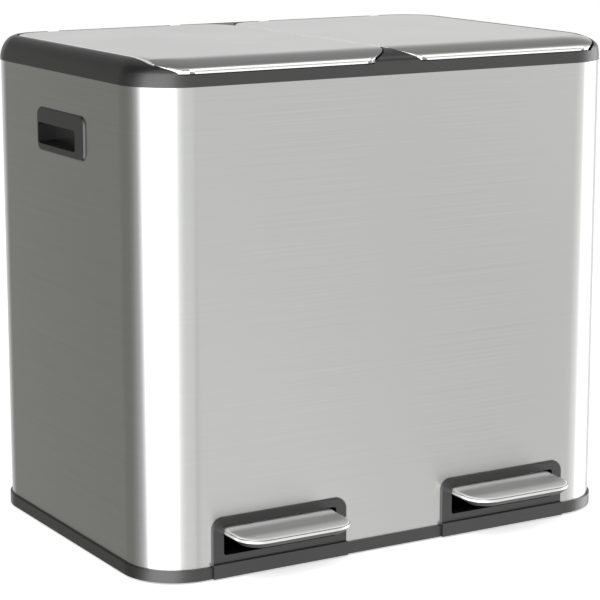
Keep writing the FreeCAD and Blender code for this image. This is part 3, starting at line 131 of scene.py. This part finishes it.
# Stretch of the noise that draws the brush lines, its usual range, and the depths of the grains.
LEVEL_BRUSH, LEVEL_STREAKS = (6, 6, 2600), (4, 4, 900)
CROSS_BRUSH = (8, 1600, 1600)
BRUSH_LOW, BRUSH_HIGH = 0.32, 0.68
GRAIN_DEPTH, ROUGH_DEPTH = 0.0002, 0.0003
ANISOTROPY, BRUSH_TURN = 0.8, 0.25


def brushed_steel(name, tint, roughness, grain, streak=0.035):
    """Stainless sheet with fine level brush lines."""
    material, graph, shader = new_material(name)
    place = graph.place()
    fine = graph.noise(graph.stretch(place, LEVEL_BRUSH), 1.0, 3.0, 0.6)
    broad = graph.noise(graph.stretch(place, LEVEL_STREAKS), 1.0, 2.0, 0.5)
    cloud = graph.noise(place, 7.0, 3.0, 0.55)
    lines = graph.math(
        "ADD", graph.math("MULTIPLY", fine, 0.8), graph.math("MULTIPLY", broad, 0.2)
    )
    low = tuple(c * (1 - streak) for c in tint)
    high = tuple(min(1.0, c * (1 + streak)) for c in tint)
    colour = graph.ramp(lines, ((BRUSH_LOW, low), (BRUSH_HIGH, high)))
    graph.put(shader.inputs["Base Color"], colour)
    shader.inputs["Metallic"].default_value = 1.0
    worn = graph.span(cloud, 0.35, 0.65, roughness * 0.97, roughness * 1.03)
    lined = graph.span(fine, 0.3, 0.7, -0.02, 0.02)
    graph.put(shader.inputs["Roughness"], graph.math("ADD", worn, lined))
    shader.inputs["Anisotropic"].default_value = ANISOTROPY
    shader.inputs["Anisotropic Rotation"].default_value = BRUSH_TURN
    tangent = graph.node("ShaderNodeTangent", {"direction_type": "RADIAL", "axis": "Z"})
    graph.put(shader.inputs["Tangent"], tangent.outputs[0])
    graph.put(shader.inputs["Normal"], graph.bump(lines, grain, GRAIN_DEPTH))
    return material


def lid_steel(name, tint, roughness, metal=1.0):
    """The same sheet on a level face, brushed along X."""
    material, graph, shader = new_material(name)
    place = graph.place()
    fine = graph.noise(graph.stretch(place, CROSS_BRUSH), 1.0, 3.0, 0.6)
    cloud = graph.noise(place, 9.0, 3.0, 0.55)
    low = tuple(c * 0.96 for c in tint)
    high = tuple(min(1.0, c * 1.04) for c in tint)
    colour = graph.ramp(fine, ((BRUSH_LOW, low), (BRUSH_HIGH, high)))
    graph.put(shader.inputs["Base Color"], colour)
    shader.inputs["Metallic"].default_value = metal
    worn = graph.span(cloud, 0.35, 0.65, roughness * 0.94, roughness * 1.06)
    graph.put(shader.inputs["Roughness"], worn)
    graph.put(shader.inputs["Normal"], graph.bump(fine, 0.03, GRAIN_DEPTH))
    return material


def pedal_steel_painted_light(name, roughness, stops, metal):
    """Satin sheet; stops paint its light and shade from the pedal's front to its rear, metal its
    sheen.
    """
    material, graph, shader = new_material(name)
    place = graph.place()
    fine = graph.noise(graph.stretch(place, CROSS_BRUSH), 1.0, 3.0, 0.6)
    along = graph.node("ShaderNodeSeparateXYZ")
    graph.put(along.inputs[0], place)
    share = graph.span(along.outputs[1], PEDAL_FRONT, PEDAL_REAR)
    painted_light_and_shade = graph.ramp(share, stops, "EASE")
    lined = graph.ramp(fine, ((BRUSH_LOW, 0.94), (BRUSH_HIGH, 1.0)))
    mix = graph.node("ShaderNodeMix", {"data_type": "RGBA", "blend_type": "MULTIPLY"})
    mix.inputs["Factor"].default_value = 1.0
    graph.put(mix.inputs["A"], painted_light_and_shade)
    graph.put(mix.inputs["B"], lined)
    graph.put(shader.inputs["Base Color"], mix.outputs["Result"])
    shader.inputs["Metallic"].default_value = metal
    worn = graph.span(fine, 0.3, 0.7, roughness * 0.9, roughness * 1.1)
    graph.put(shader.inputs["Roughness"], worn)
    graph.put(shader.inputs["Normal"], graph.bump(fine, 0.03, GRAIN_DEPTH))
    return material


def moulded(name, dark, light, roughness, grain=0.05, specular=0.5):
    """Moulded plastic with a fine spark-eroded grain."""
    material, graph, shader = new_material(name)
    place = graph.place()
    speck = graph.noise(place, 2200.0, 2.0, 0.6)
    cloud = graph.noise(place, 14.0, 3.0, 0.5)
    graph.put(shader.inputs["Base Color"], graph.ramp(cloud, ((0.3, dark), (0.7, light))))
    worn = graph.span(cloud, 0.3, 0.7, roughness * 0.93, roughness * 1.07)
    graph.put(shader.inputs["Roughness"], worn)
    shader.inputs["Specular IOR Level"].default_value = specular
    graph.put(shader.inputs["Normal"], graph.bump(speck, grain, GRAIN_DEPTH))
    return material


def plated(name, tint, roughness):
    """Zinc-plated or drawn metal, slightly clouded."""
    material, graph, shader = new_material(name)
    place = graph.place()
    cloud = graph.noise(place, 60.0, 4.0, 0.6)
    low = tuple(c * 0.88 for c in tint)
    graph.put(shader.inputs["Base Color"], graph.ramp(cloud, ((0.35, low), (0.65, tint))))
    shader.inputs["Metallic"].default_value = 1.0
    worn = graph.span(cloud, 0.3, 0.7, roughness * 0.85, roughness * 1.15)
    graph.put(shader.inputs["Roughness"], worn)
    graph.put(shader.inputs["Normal"], graph.bump(cloud, 0.04, ROUGH_DEPTH))
    return material


def rubbery(name, tint):
    """Matt rubber with a coarse grain."""
    material, graph, shader = new_material(name)
    place = graph.place()
    grain = graph.noise(place, 900.0, 3.0, 0.6)
    low = tuple(c * 0.8 for c in tint)
    graph.put(shader.inputs["Base Color"], graph.ramp(grain, ((0.3, low), (0.7, tint))))
    graph.put(shader.inputs["Roughness"], graph.span(grain, 0.3, 0.7, 0.78, 0.9))
    graph.put(shader.inputs["Normal"], graph.bump(grain, 0.12, ROUGH_DEPTH))
    return material


STEEL = (0.60, 0.60, 0.595)
# The pedals' ends along Y, and the colours of their sheet from one to the other: painted light and
# shade.
PEDAL_FRONT, PEDAL_REAR = -0.210, -0.163
# Tread: painted highlight at the rear, a lighter front, painted shade in the middle.
TREAD_PAINTED_LIGHT = (
    (0.0, (0.74, 0.74, 0.73)), (0.12, (0.62, 0.62, 0.6)), (0.4, (0.4, 0.405, 0.385)),
    (0.62, (0.44, 0.445, 0.425)), (0.86, (0.95, 0.95, 0.94)), (1.0, (0.97, 0.97, 0.97)),
)
# Pale edge: painted highlight, paler towards the rear.
EDGE_PAINTED_HIGHLIGHT = (
    (0.0, (0.68, 0.68, 0.67)), (0.15, (0.8, 0.8, 0.79)),
    (0.4, (0.94, 0.94, 0.93)), (1.0, (0.96, 0.96, 0.96)),
)
# Creased line: dark sheet, painted shade in the fold.
CREASE_PAINTED_SHADE = ((0.0, (0.12, 0.12, 0.12)), (1.0, (0.2, 0.2, 0.2)))
MATERIALS = {
    "body_steel": brushed_steel("body_steel", STEEL, 0.22, 0.012),
    "lid_steel": lid_steel("lid_steel", STEEL, 0.18),
    # The pedal sheets' colours are painted highlight and shade; the lids' pale edge sheet is a
    # painted highlight.
    "pedal_steel_painted_light": pedal_steel_painted_light("pedal_steel_painted_light", 0.3, TREAD_PAINTED_LIGHT, 0.45),
    "pedal_edge_painted_highlight": pedal_steel_painted_light("pedal_edge_steel", 0.25, EDGE_PAINTED_HIGHLIGHT, 0.5),
    "crease_painted_shade": pedal_steel_painted_light("pedal_crease_steel", 0.35, CREASE_PAINTED_SHADE, 0.5),
    # Paler, less metallic sheet for the lids' soft edge: a painted highlight.
    "lid_edge": lid_steel("lid_edge_steel", (0.84, 0.84, 0.83), 0.25, 0.35),
    "black": moulded(
        "black_plastic", (0.006, 0.006, 0.0062), (0.008, 0.008, 0.0082), 0.33, 0.03, 0.95
    ),
    "black_inner": moulded(
        "black_inner_plastic", (0.012, 0.012, 0.013), (0.016, 0.016, 0.017), 0.5
    ),
    "bucket": moulded(
        "bucket_plastic", (0.035, 0.035, 0.037), (0.043, 0.043, 0.045), 0.45, 0.1
    ),
    "white": moulded("natural_plastic", (0.6, 0.6, 0.57), (0.66, 0.66, 0.63), 0.4),
    "zinc": plated("zinc_plate", (0.6, 0.61, 0.62), 0.35),
    "aluminium": plated("drawn_aluminium", (0.75, 0.75, 0.75), 0.28),
    "rubber": rubbery("rubber", (0.03, 0.03, 0.03)),
}

# Material of each CAD node, by its name without the side.
NODE_MATERIALS = {
    "steel_body": "body_steel",
    "seam_strip": "body_steel",
    "base_tray": "black",
    "rubber_feet": "rubber",
    "top_rim": "black",
    "rim_screws": "zinc",
    "base_screws": "zinc",
    "lever_stops": "rubber",
    "pedal_bezel": "black",
    "handle_cup": "black",
    "inner_bucket": "bucket",
    "rod_channel": "black_inner",
    "damper_cylinder": "aluminium",
    "lever_pin": "zinc",
    "hinge_pins": "zinc",
    "pedal_lever": "zinc",
    "pedal_pad": "black",
    "pedal_cover": "pedal_steel_painted_light",
    "pedal_rivets": "zinc",
    "lever_saddle": "white",
    "lift_rod": "zinc",
    "rod_head": "white",
    "rod_foot": "white",
    "damper_piston": "zinc",
    "damper_clamp": "black_inner",
    "lid_skin": "lid_steel",
    "lid_liner": "black_inner",
    "lid_crank": "zinc",
    "lid_bumpers": "rubber",
    "lid_screws": "zinc",
}


# ---------------------------------------------------------------- smooth shading


SAME_POINT = 2e-6


def smoothing_group(angle):
    """Node group that joins split vertices and marks edges sharper than an angle."""
    group = bpy.data.node_groups.new("joined_and_sharp", "GeometryNodeTree")
    group.interface.new_socket("Geometry", in_out="INPUT", socket_type="NodeSocketGeometry")
    group.interface.new_socket("Geometry", in_out="OUTPUT", socket_type="NodeSocketGeometry")
    nodes, links = group.nodes, group.links
    start, end = nodes.new("NodeGroupInput"), nodes.new("NodeGroupOutput")
    merge = nodes.new("GeometryNodeMergeByDistance")
    merge.inputs["Distance"].default_value = SAME_POINT
    faces = nodes.new("GeometryNodeSetShadeSmooth")
    faces.domain = "FACE"
    edges = nodes.new("GeometryNodeSetShadeSmooth")
    edges.domain = "EDGE"
    edges.inputs["Shade Smooth"].default_value = False
    bend = nodes.new("GeometryNodeInputMeshEdgeAngle")
    sharp = nodes.new("FunctionNodeCompare")
    sharp.data_type = "FLOAT"
    sharp.operation = "GREATER_THAN"
    sharp.inputs[1].default_value = angle
    links.new(start.outputs[0], merge.inputs["Geometry"])
    links.new(merge.outputs["Geometry"], faces.inputs["Geometry"])
    links.new(faces.outputs["Geometry"], edges.inputs["Geometry"])
    links.new(bend.outputs["Unsigned Angle"], sharp.inputs[0])
    links.new(sharp.outputs[0], edges.inputs["Selection"])
    links.new(edges.outputs["Geometry"], end.inputs[0])
    return group


SHARP_EDGE = math.radians(26)
NODE_FACE_WEIGHT = 80
SMOOTHING = smoothing_group(SHARP_EDGE)


def smooth(piece, face_weight=50):
    """Joins split vertices, keeps sharp edges and weights the normals by the faces' size."""
    joined = piece.modifiers.new("joined_and_sharp", "NODES")
    joined.node_group = SMOOTHING
    weighted = piece.modifiers.new("weighted_normals", "WEIGHTED_NORMAL")
    weighted.keep_sharp = True
    weighted.weight = face_weight


def finish_node(name, node):
    """Gives a CAD node its material and smooth shading; its mesh stays as it is."""
    stem = name.removesuffix("_left").removesuffix("_right")
    node.data.materials.clear()
    node.data.materials.append(MATERIALS[NODE_MATERIALS[stem]])
    smooth(node, NODE_FACE_WEIGHT)


for node_name, node_object in NODES.items():
    finish_node(node_name, node_object)

# ------------------------------------------------------------- pressed covers


def ring(low, high, radii, inset, rear_inset=None, arc=12, span=14):
    """Points round a rectangle with round corners, moved inwards; front is the low end of Y.

    radii holds the front and the rear corner radius. Each corner has arc steps and each side
    span steps, so every ring has the same number of points.
    """
    rear_inset = inset if rear_inset is None else rear_inset
    x0, x1 = low[0] + inset, high[0] - inset
    y0, y1 = low[1] + inset, high[1] - rear_inset
    front, rear = max(radii[0] - inset, 0.0), max(radii[1] - rear_inset, 0.0)
    corners = (
        (x0 + front, y0 + front, front, 180), (x1 - front, y0 + front, front, 270),
        (x1 - rear, y1 - rear, rear, 0), (x0 + rear, y1 - rear, rear, 90),
    )
    arcs = []
    for x, y, r, start in corners:
        turns = [math.radians(start + 90 * k / arc) for k in range(arc + 1)]
        arcs.append([(x + r * math.cos(t), y + r * math.sin(t)) for t in turns])
    points = []
    for k, bend in enumerate(arcs):
        points += bend
        (ax, ay), (bx, by) = bend[-1], arcs[(k + 1) % 4][0]
        for j in range(1, span):
            points.append((ax + (bx - ax) * j / span, ay + (by - ay) * j / span))
    return points


def stack(name, rings, close_low=False):
    """Mesh through rings of equal length, capped over the last and, if asked, the first."""
    count = len(rings[0])
    points = [point for one in rings for point in one]
    faces = []
    for k in range(len(rings) - 1):
        for j in range(count):
            a, b = k * count + j, k * count + (j + 1) % count
            faces.append((a, b, b + count, a + count))
    faces.append(tuple((len(rings) - 1) * count + j for j in range(count)))
    if close_low:
        faces.append(tuple(reversed(range(count))))
    mesh = bpy.data.meshes.new(name)
    mesh.from_pydata(points, [], faces)
    work = bmesh.new()
    work.from_mesh(mesh)
    bmesh.ops.remove_doubles(work, verts=work.verts, dist=SAME_POINT)
    bmesh.ops.dissolve_degenerate(work, edges=work.edges, dist=1e-6)
    bmesh.ops.recalc_face_normals(work, faces=work.faces)
    work.to_mesh(mesh)
    work.free()
    piece = bpy.data.objects.new(name, mesh)
    bpy.context.scene.collection.objects.link(piece)
    return piece


def dressed(piece, body, materials, slot, *nodes, wall=0.0):
    """Gives a piece its wall, shading, materials and body, and hides the CAD nodes it stands for.
    """
    for material in materials:
        piece.data.materials.append(MATERIALS[material])
    if wall:
        thick = piece.modifiers.new("sheet", "SOLIDIFY")
        thick.thickness = wall
        thick.offset = -1.0
    smooth(piece)
    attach(piece, body)
    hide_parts(*nodes)
    return piece


# The crown's form, as in the CAD: heights of the lids' front edge, the top and the rim's low
# band, how far the crown rolls in, and the rim's corner radius and half sizes.
EDGE, TOP, RIM_LOW = 0.439, 0.450, 0.428
SIDE_ROLL, FRONT_ROLL, RIM_CORNER = 0.016, 0.035, 0.0508
RIM_X, RIM_Y = 0.2458, 0.1678
HALVINGS = 30


def crown_level(x, y):
    """Height of the rolled crown over a point of its plan."""

    def outside(turn):
        level = EDGE + (TOP - EDGE) * math.sin(turn)
        climb = (level - RIM_LOW) / (TOP - RIM_LOW)
        rolled = SIDE_ROLL * (1 - math.sqrt(max(0.0, 1 - climb * climb)))
        front = -RIM_Y + FRONT_ROLL * (1 - math.cos(turn))
        half, rear, r = RIM_X - rolled, RIM_Y - rolled, RIM_CORNER - rolled
        across = abs(x) - (half - r)
        along = abs(y - (front + rear) / 2) - ((rear - front) / 2 - r)
        reach = math.hypot(max(across, 0), max(along, 0)) + min(max(across, along), 0)
        return reach > r

    low, high = 0.0, math.pi / 2
    if not outside(high):
        return TOP
    for _ in range(HALVINGS):
        middle = (low + high) / 2
        low, high = (low, middle) if outside(middle) else (middle, high)
    return EDGE + (TOP - EDGE) * math.sin(low)


# Lid: insets of its rings in mm, its plan, its corners, its soft edge and its creased hem.
LID_STEPS = (
    0, 0.1, 0.25, 0.45, 0.62, 0.8, 1.05, 1.4, 1.8, 2.3, 2.8,
    3.6, 4.6, 6, 8, 10.5, 13.5, 17, 21, 25, 29, 33.4,
)
LID_INNER, LID_OUTER = 0.0009, 0.2286
LID_FRONT, LID_REAR = -0.1678, 0.1498
LID_CORNERS = (0.034, 0.034)
LID_SOFT, LID_DROP, LID_SHEET = 0.0024, 0.0012, 0.0007
CREASE, CREASE_BAND, CREASE_DEPTH = 0.00062, 0.0002, 0.0004
CREASE_TOP, CREASE_FADE = 0.446, 0.004


def lid_cover(name, side):
    """Pressed lid: soft upper edge all round, rolled front that ends in a creased hem."""
    ends = sorted((side * LID_INNER, side * LID_OUTER))
    low, high = (ends[0], LID_FRONT), (ends[1], LID_REAR)
    rings = [[(x, y, EDGE) for x, y in ring(low, high, LID_CORNERS, 0)]]
    for step in LID_STEPS:
        d = step / 1000
        points = []
        for x, y in ring(low, high, LID_CORNERS, d):
            short = max(LID_SOFT - d, 0)
            soft = TOP - LID_DROP * (1 - math.sqrt(1 - (short / LID_SOFT) ** 2))
            level = crown_level(x, y)
            if abs(d - CREASE) < 1e-5:
                steep = min(max((CREASE_TOP - level) / CREASE_FADE, 0), 1)
                y += CREASE_DEPTH * steep
            points.append((x, y, min(level, soft)))
        rings.append(points)
    piece = stack(f"lid_cover_{name}", rings)
    # The soft edge's faces get a paler, less metallic sheet, a painted highlight; the creased
    # hem's faces get the dark sheet, painted shade.
    for face in piece.data.polygons:
        x, y, _ = face.center
        margin = min(x - low[0], high[0] - x, y - low[1])
        face.material_index = 1 if margin < LID_SOFT and len(face.vertices) < 5 else 0
        creased = CREASE - CREASE_BAND < y - low[1] < CREASE + CREASE_BAND
        if creased and margin > CREASE - CREASE_BAND:
            face.material_index = 2
    materials, node = ("lid_steel", "lid_edge", "crease_painted_shade"), f"lid_skin_{name}"
    return dressed(piece, f"lid_{name}", materials, "brushed_steel", node, wall=LID_SHEET)


# Inset and height in mm: upright wall, creased hem line, soft shoulder, then the tread.
PEDAL_STEPS = (
    (0.35, 39.6), (0, 39.9), (0, 41.3), (0.15, 42.0), (0.4, 42.3), (0.62, 42.28),
    (0.75, 42.5), (1.0, 42.85), (1.5, 43.25), (2.2, 43.55), (3.2, 43.75), (5, 43.95),
    (8, 44.05), (13, 44.1), (18, 44.1), (22.9, 44.1),
)
# Heights of the creased line, painted dark as shade, and of the top of the pale edge, a painted
# highlight.
CREASE_LOW, CREASE_HIGH, EDGE_TOP = 0.04205, 0.0424, 0.04345
PEDAL_LANE, PEDAL_HALF = 0.119, 0.056
PEDAL_CORNERS = (0.022, 0.0003)
PEDAL_SHEET = 0.0006
# The cap's rear part climbs by this much, from this place on and over this depth.
CAP_RISE, CAP_RISE_FROM, CAP_RISE_OVER = 0.0012, -0.180, 0.015


def pedal_box(side):
    """Low and high corner of a pedal's plan."""
    lane = side * PEDAL_LANE
    return (lane - PEDAL_HALF, PEDAL_FRONT), (lane + PEDAL_HALF, PEDAL_REAR)


def share_along(y, start, depth):
    """How far y has gone through a stretch of the plan, from 0 to 1."""
    return min(max((y - start) / depth, 0), 1)


def pedal_cover(name, side):
    """Pressed pedal cap: upright wall with a creased line, soft shoulders, raised rear edge."""
    rings = []
    for inset, level in PEDAL_STEPS:
        points = []
        for x, y in ring(*pedal_box(side), PEDAL_CORNERS, inset / 1000, 0.0):
            rise = share_along(y, CAP_RISE_FROM, CAP_RISE_OVER)
            points.append((x, y, level / 1000 + CAP_RISE * rise ** 2 * min(inset / 2, 1)))
        rings.append(points)
    piece = stack(f"pedal_cap_{name}", rings)
    # Faces on the creased line get painted shade; the wall's faces below the pale edge's top get a
    # painted highlight.
    for face in piece.data.polygons:
        if CREASE_LOW < face.center.z < CREASE_HIGH:
            face.material_index = 2
        elif face.center.z < EDGE_TOP:
            face.material_index = 1
    materials, node = ("pedal_steel_painted_light", "pedal_edge_painted_highlight", "crease_painted_shade"), f"pedal_cover_{name}"
    return dressed(piece, f"pedal_{name}", materials, "brushed_steel", node, wall=PEDAL_SHEET)


# Inset and height in mm, from the underside up.
PAD_STEPS = (
    (7, 34.6), (6.2, 34.7), (4.6, 35.2), (3.2, 36.2), (2.1, 37.6),
    (1.4, 39.0), (1.1, 40.0), (1.0, 41.0), (1.2, 42.2),
)
PAD_REAR_GAP = 0.0005
# Inside the opening the underside stays above this height in mm, clear of the bezel.
PAD_INNER_LOW, PAD_RISE_FROM, PAD_RISE_OVER = 37.3, -0.190, 0.012


def pedal_pad(name, side):
    """Black pad that fills the cap and curves in below it like a boat's hull."""
    rings = []
    for inset, level in PAD_STEPS:
        points = []
        for x, y in ring(*pedal_box(side), PEDAL_CORNERS, inset / 1000, PAD_REAR_GAP):
            inside = share_along(y, PAD_RISE_FROM, PAD_RISE_OVER)
            raised = max(level, PAD_INNER_LOW)
            points.append((x, y, (level + (raised - level) * inside) / 1000))
        rings.append(points)
    piece = stack(f"pedal_block_{name}", rings, close_low=True)
    nodes = (f"pedal_pad_{name}", f"pedal_rivets_{name}")
    return dressed(piece, f"pedal_{name}", ("black_inner",), "black_plastic", *nodes)


for side_name, side_sign in SIDES.items():
    lid_cover(side_name, side_sign)
    pedal_cover(side_name, side_sign)
    pedal_pad(side_name, side_sign)

# ------------------------------------------------------------------------ studio


FULL_TURN, HALF_TURN = 360, 180
# Brightness that a full ramp stands for: the walls', and the heights' and the pool's.
WALL_FULL, HEIGHT_FULL = 3.2, 1.2
# Brightness of the walls by direction, in degrees from the front to the right, and the slight
# olive of the dim ones.
WALLS = (
    (-180, 0.72), (-168, 0.5), (-155, 0.25), (-125, 0.25), (-112, 0.34), (-100, 0.62),
    (-91, 1.2), (-82, 2.9), (-70, 2.9), (-29, 2.9), (-17, 1.35), (-6, 1.0), (44, 1.0),
    (60, 1.3), (70, 2.9), (100, 2.9), (112, 1.1), (125, 0.82), (150, 0.8), (180, 0.72),
)
OLIVE = {-155: 0.92, -125: 0.92, -112: 0.95}
# Brightness by elevation in degrees.
HEIGHTS = (
    (-90, 1.1), (-30, 1.05), (-12, 1.0), (2, 0.98), (9, 1.0), (22, 0.42), (60, 0.34), (90, 0.4),
)
# The pool of light: its direction and elevation, its half sizes, all in degrees, and its
# brightness by the distance from its middle in half sizes.
POOL_TURN, POOL_RISE, POOL_WIDE, POOL_TALL = 27.8, -18, 9.8, 10
POOL_REACH = 3
POOL = (
    (0, 1.1), (0.3, 1.0), (0.6, 0.9), (0.85, 0.8),
    (1.08, 0.7), (1.3, 0.78), (1.6, 0.94), (3.0, 1.0),
)


def turn_share(degrees):
    """Place of a direction on the walls' ramp."""
    return degrees / FULL_TURN + 0.5


def rise_share(degrees):
    """Place of an elevation on the heights' ramp."""
    return degrees / HALF_TURN + 0.5


def studio_world():
    """Pale studio: even front wall, bright panels at both sides, dim rear corner and ceiling."""
    world = bpy.data.worlds.new("studio")
    bpy.context.scene.world = world
    world.use_nodes = True
    graph = Graph(world.node_tree)
    split = graph.node("ShaderNodeSeparateXYZ")
    graph.put(split.inputs[0], graph.node("ShaderNodeTexCoord").outputs["Generated"])
    x, y, z = split.outputs
    turn = graph.math("ARCTAN2", x, graph.math("MULTIPLY", y, -1.0))
    turn = graph.math("ADD", graph.math("DIVIDE", turn, 2 * math.pi), 0.5)
    rise = graph.math("ARCSINE", z)
    rise = graph.math("ADD", graph.math("DIVIDE", rise, math.pi), 0.5)

    stops = []
    for degrees, level in WALLS:
        share = level / WALL_FULL
        stops.append((turn_share(degrees), (share, share * 1.01, share * OLIVE.get(degrees, 1.0))))
    round_wall = graph.ramp(turn, stops)
    by_height = graph.ramp(rise, [(rise_share(a), v / HEIGHT_FULL) for a, v in HEIGHTS])

    # a soft pool of light low on the floor in front, with a dimmer ring round it
    across = graph.math("SUBTRACT", turn, turn_share(POOL_TURN))
    across = graph.math("DIVIDE", across, POOL_WIDE / FULL_TURN)
    along = graph.math("SUBTRACT", rise, rise_share(POOL_RISE))
    along = graph.math("DIVIDE", along, POOL_TALL / HALF_TURN)
    squares = [
        graph.math("POWER", graph.math("ABSOLUTE", offset), 2.0) for offset in (across, along)
    ]
    far = graph.math("DIVIDE", graph.math("SQRT", graph.math("ADD", *squares)), POOL_REACH)
    pool = graph.ramp(far, [(d / POOL_REACH, v / HEIGHT_FULL) for d, v in POOL])
    strength = graph.math("MULTIPLY", pool, by_height)
    strength = graph.math("MULTIPLY", strength, WALL_FULL * HEIGHT_FULL * HEIGHT_FULL)
    glow = graph.node("ShaderNodeBackground", Color=round_wall, Strength=strength)
    graph.node("ShaderNodeOutputWorld", Surface=glow.outputs[0])


FLOOR_SIZE, FLOOR_LEVEL, FLOOR_GLOW = 60, -0.0002, 0.5


def studio_floor():
    """Pale matt floor that glows a little, and isn't mirrored in the steel."""
    bpy.ops.mesh.primitive_plane_add(size=FLOOR_SIZE, location=(0, 0, FLOOR_LEVEL))
    floor = bpy.context.active_object
    floor.name = "studio_floor"
    material, graph, shader = new_material("pale_floor")
    grain = graph.noise(graph.place(), 3.0, 2.0, 0.5)
    graph.put(shader.inputs["Base Color"], graph.ramp(grain, ((0.3, 0.84), (0.7, 0.86))))
    shader.inputs["Roughness"].default_value = 0.9
    shader.inputs["Emission Color"].default_value = (1, 1, 1, 1)
    shader.inputs["Emission Strength"].default_value = FLOOR_GLOW
    floor.data.materials.append(material)
    floor.visible_glossy = False


def soft_panel(name, place, aim, size, power):
    """Large soft light for the floor and the black parts, not mirrored in the steel."""
    data = bpy.data.lights.new(name, "AREA")
    data.shape = "RECTANGLE"
    data.size, data.size_y = size
    data.energy = power
    light = bpy.data.objects.new(name, data)
    bpy.context.scene.collection.objects.link(light)
    light.location = place
    light.rotation_mode = "QUATERNION"
    light.rotation_quaternion = (Vector(aim) - Vector(place)).to_track_quat("-Z", "Y")
    light.visible_glossy = False


studio_world()
studio_floor()
soft_panel("front_panel", place=(-1.0, -1.6, 2.0), aim=(0, 0, 0.1), size=(2.0, 2.0), power=45)


PHOTO_WIDTH, FOCAL_PX, SENSOR_WIDTH = 600, 2263.2, 36
CLIP_NEAR, CLIP_FAR = 0.05, 60


def photo_camera():
    """The photograph's view, as fitted to the object's edges."""
    data = bpy.data.cameras.new("photo_camera")
    camera = bpy.data.objects.new("photo_camera", data)
    bpy.context.scene.collection.objects.link(camera)
    right = (0.860281, -0.509821, -0.00036)
    up = (0.103657, 0.174221, 0.979236)
    back = (-0.499172, -0.842455, 0.202725)
    place = (-1.07392, -1.81347, 0.63445)
    camera.matrix_world = Matrix((*zip(right, up, back, place), (0, 0, 0, 1)))
    data.sensor_width = SENSOR_WIDTH
    data.lens = FOCAL_PX * SENSOR_WIDTH / PHOTO_WIDTH
    data.clip_start, data.clip_end = CLIP_NEAR, CLIP_FAR
    bpy.context.scene.camera = camera


photo_camera()
bpy.context.scene.view_settings.view_transform = "Standard"
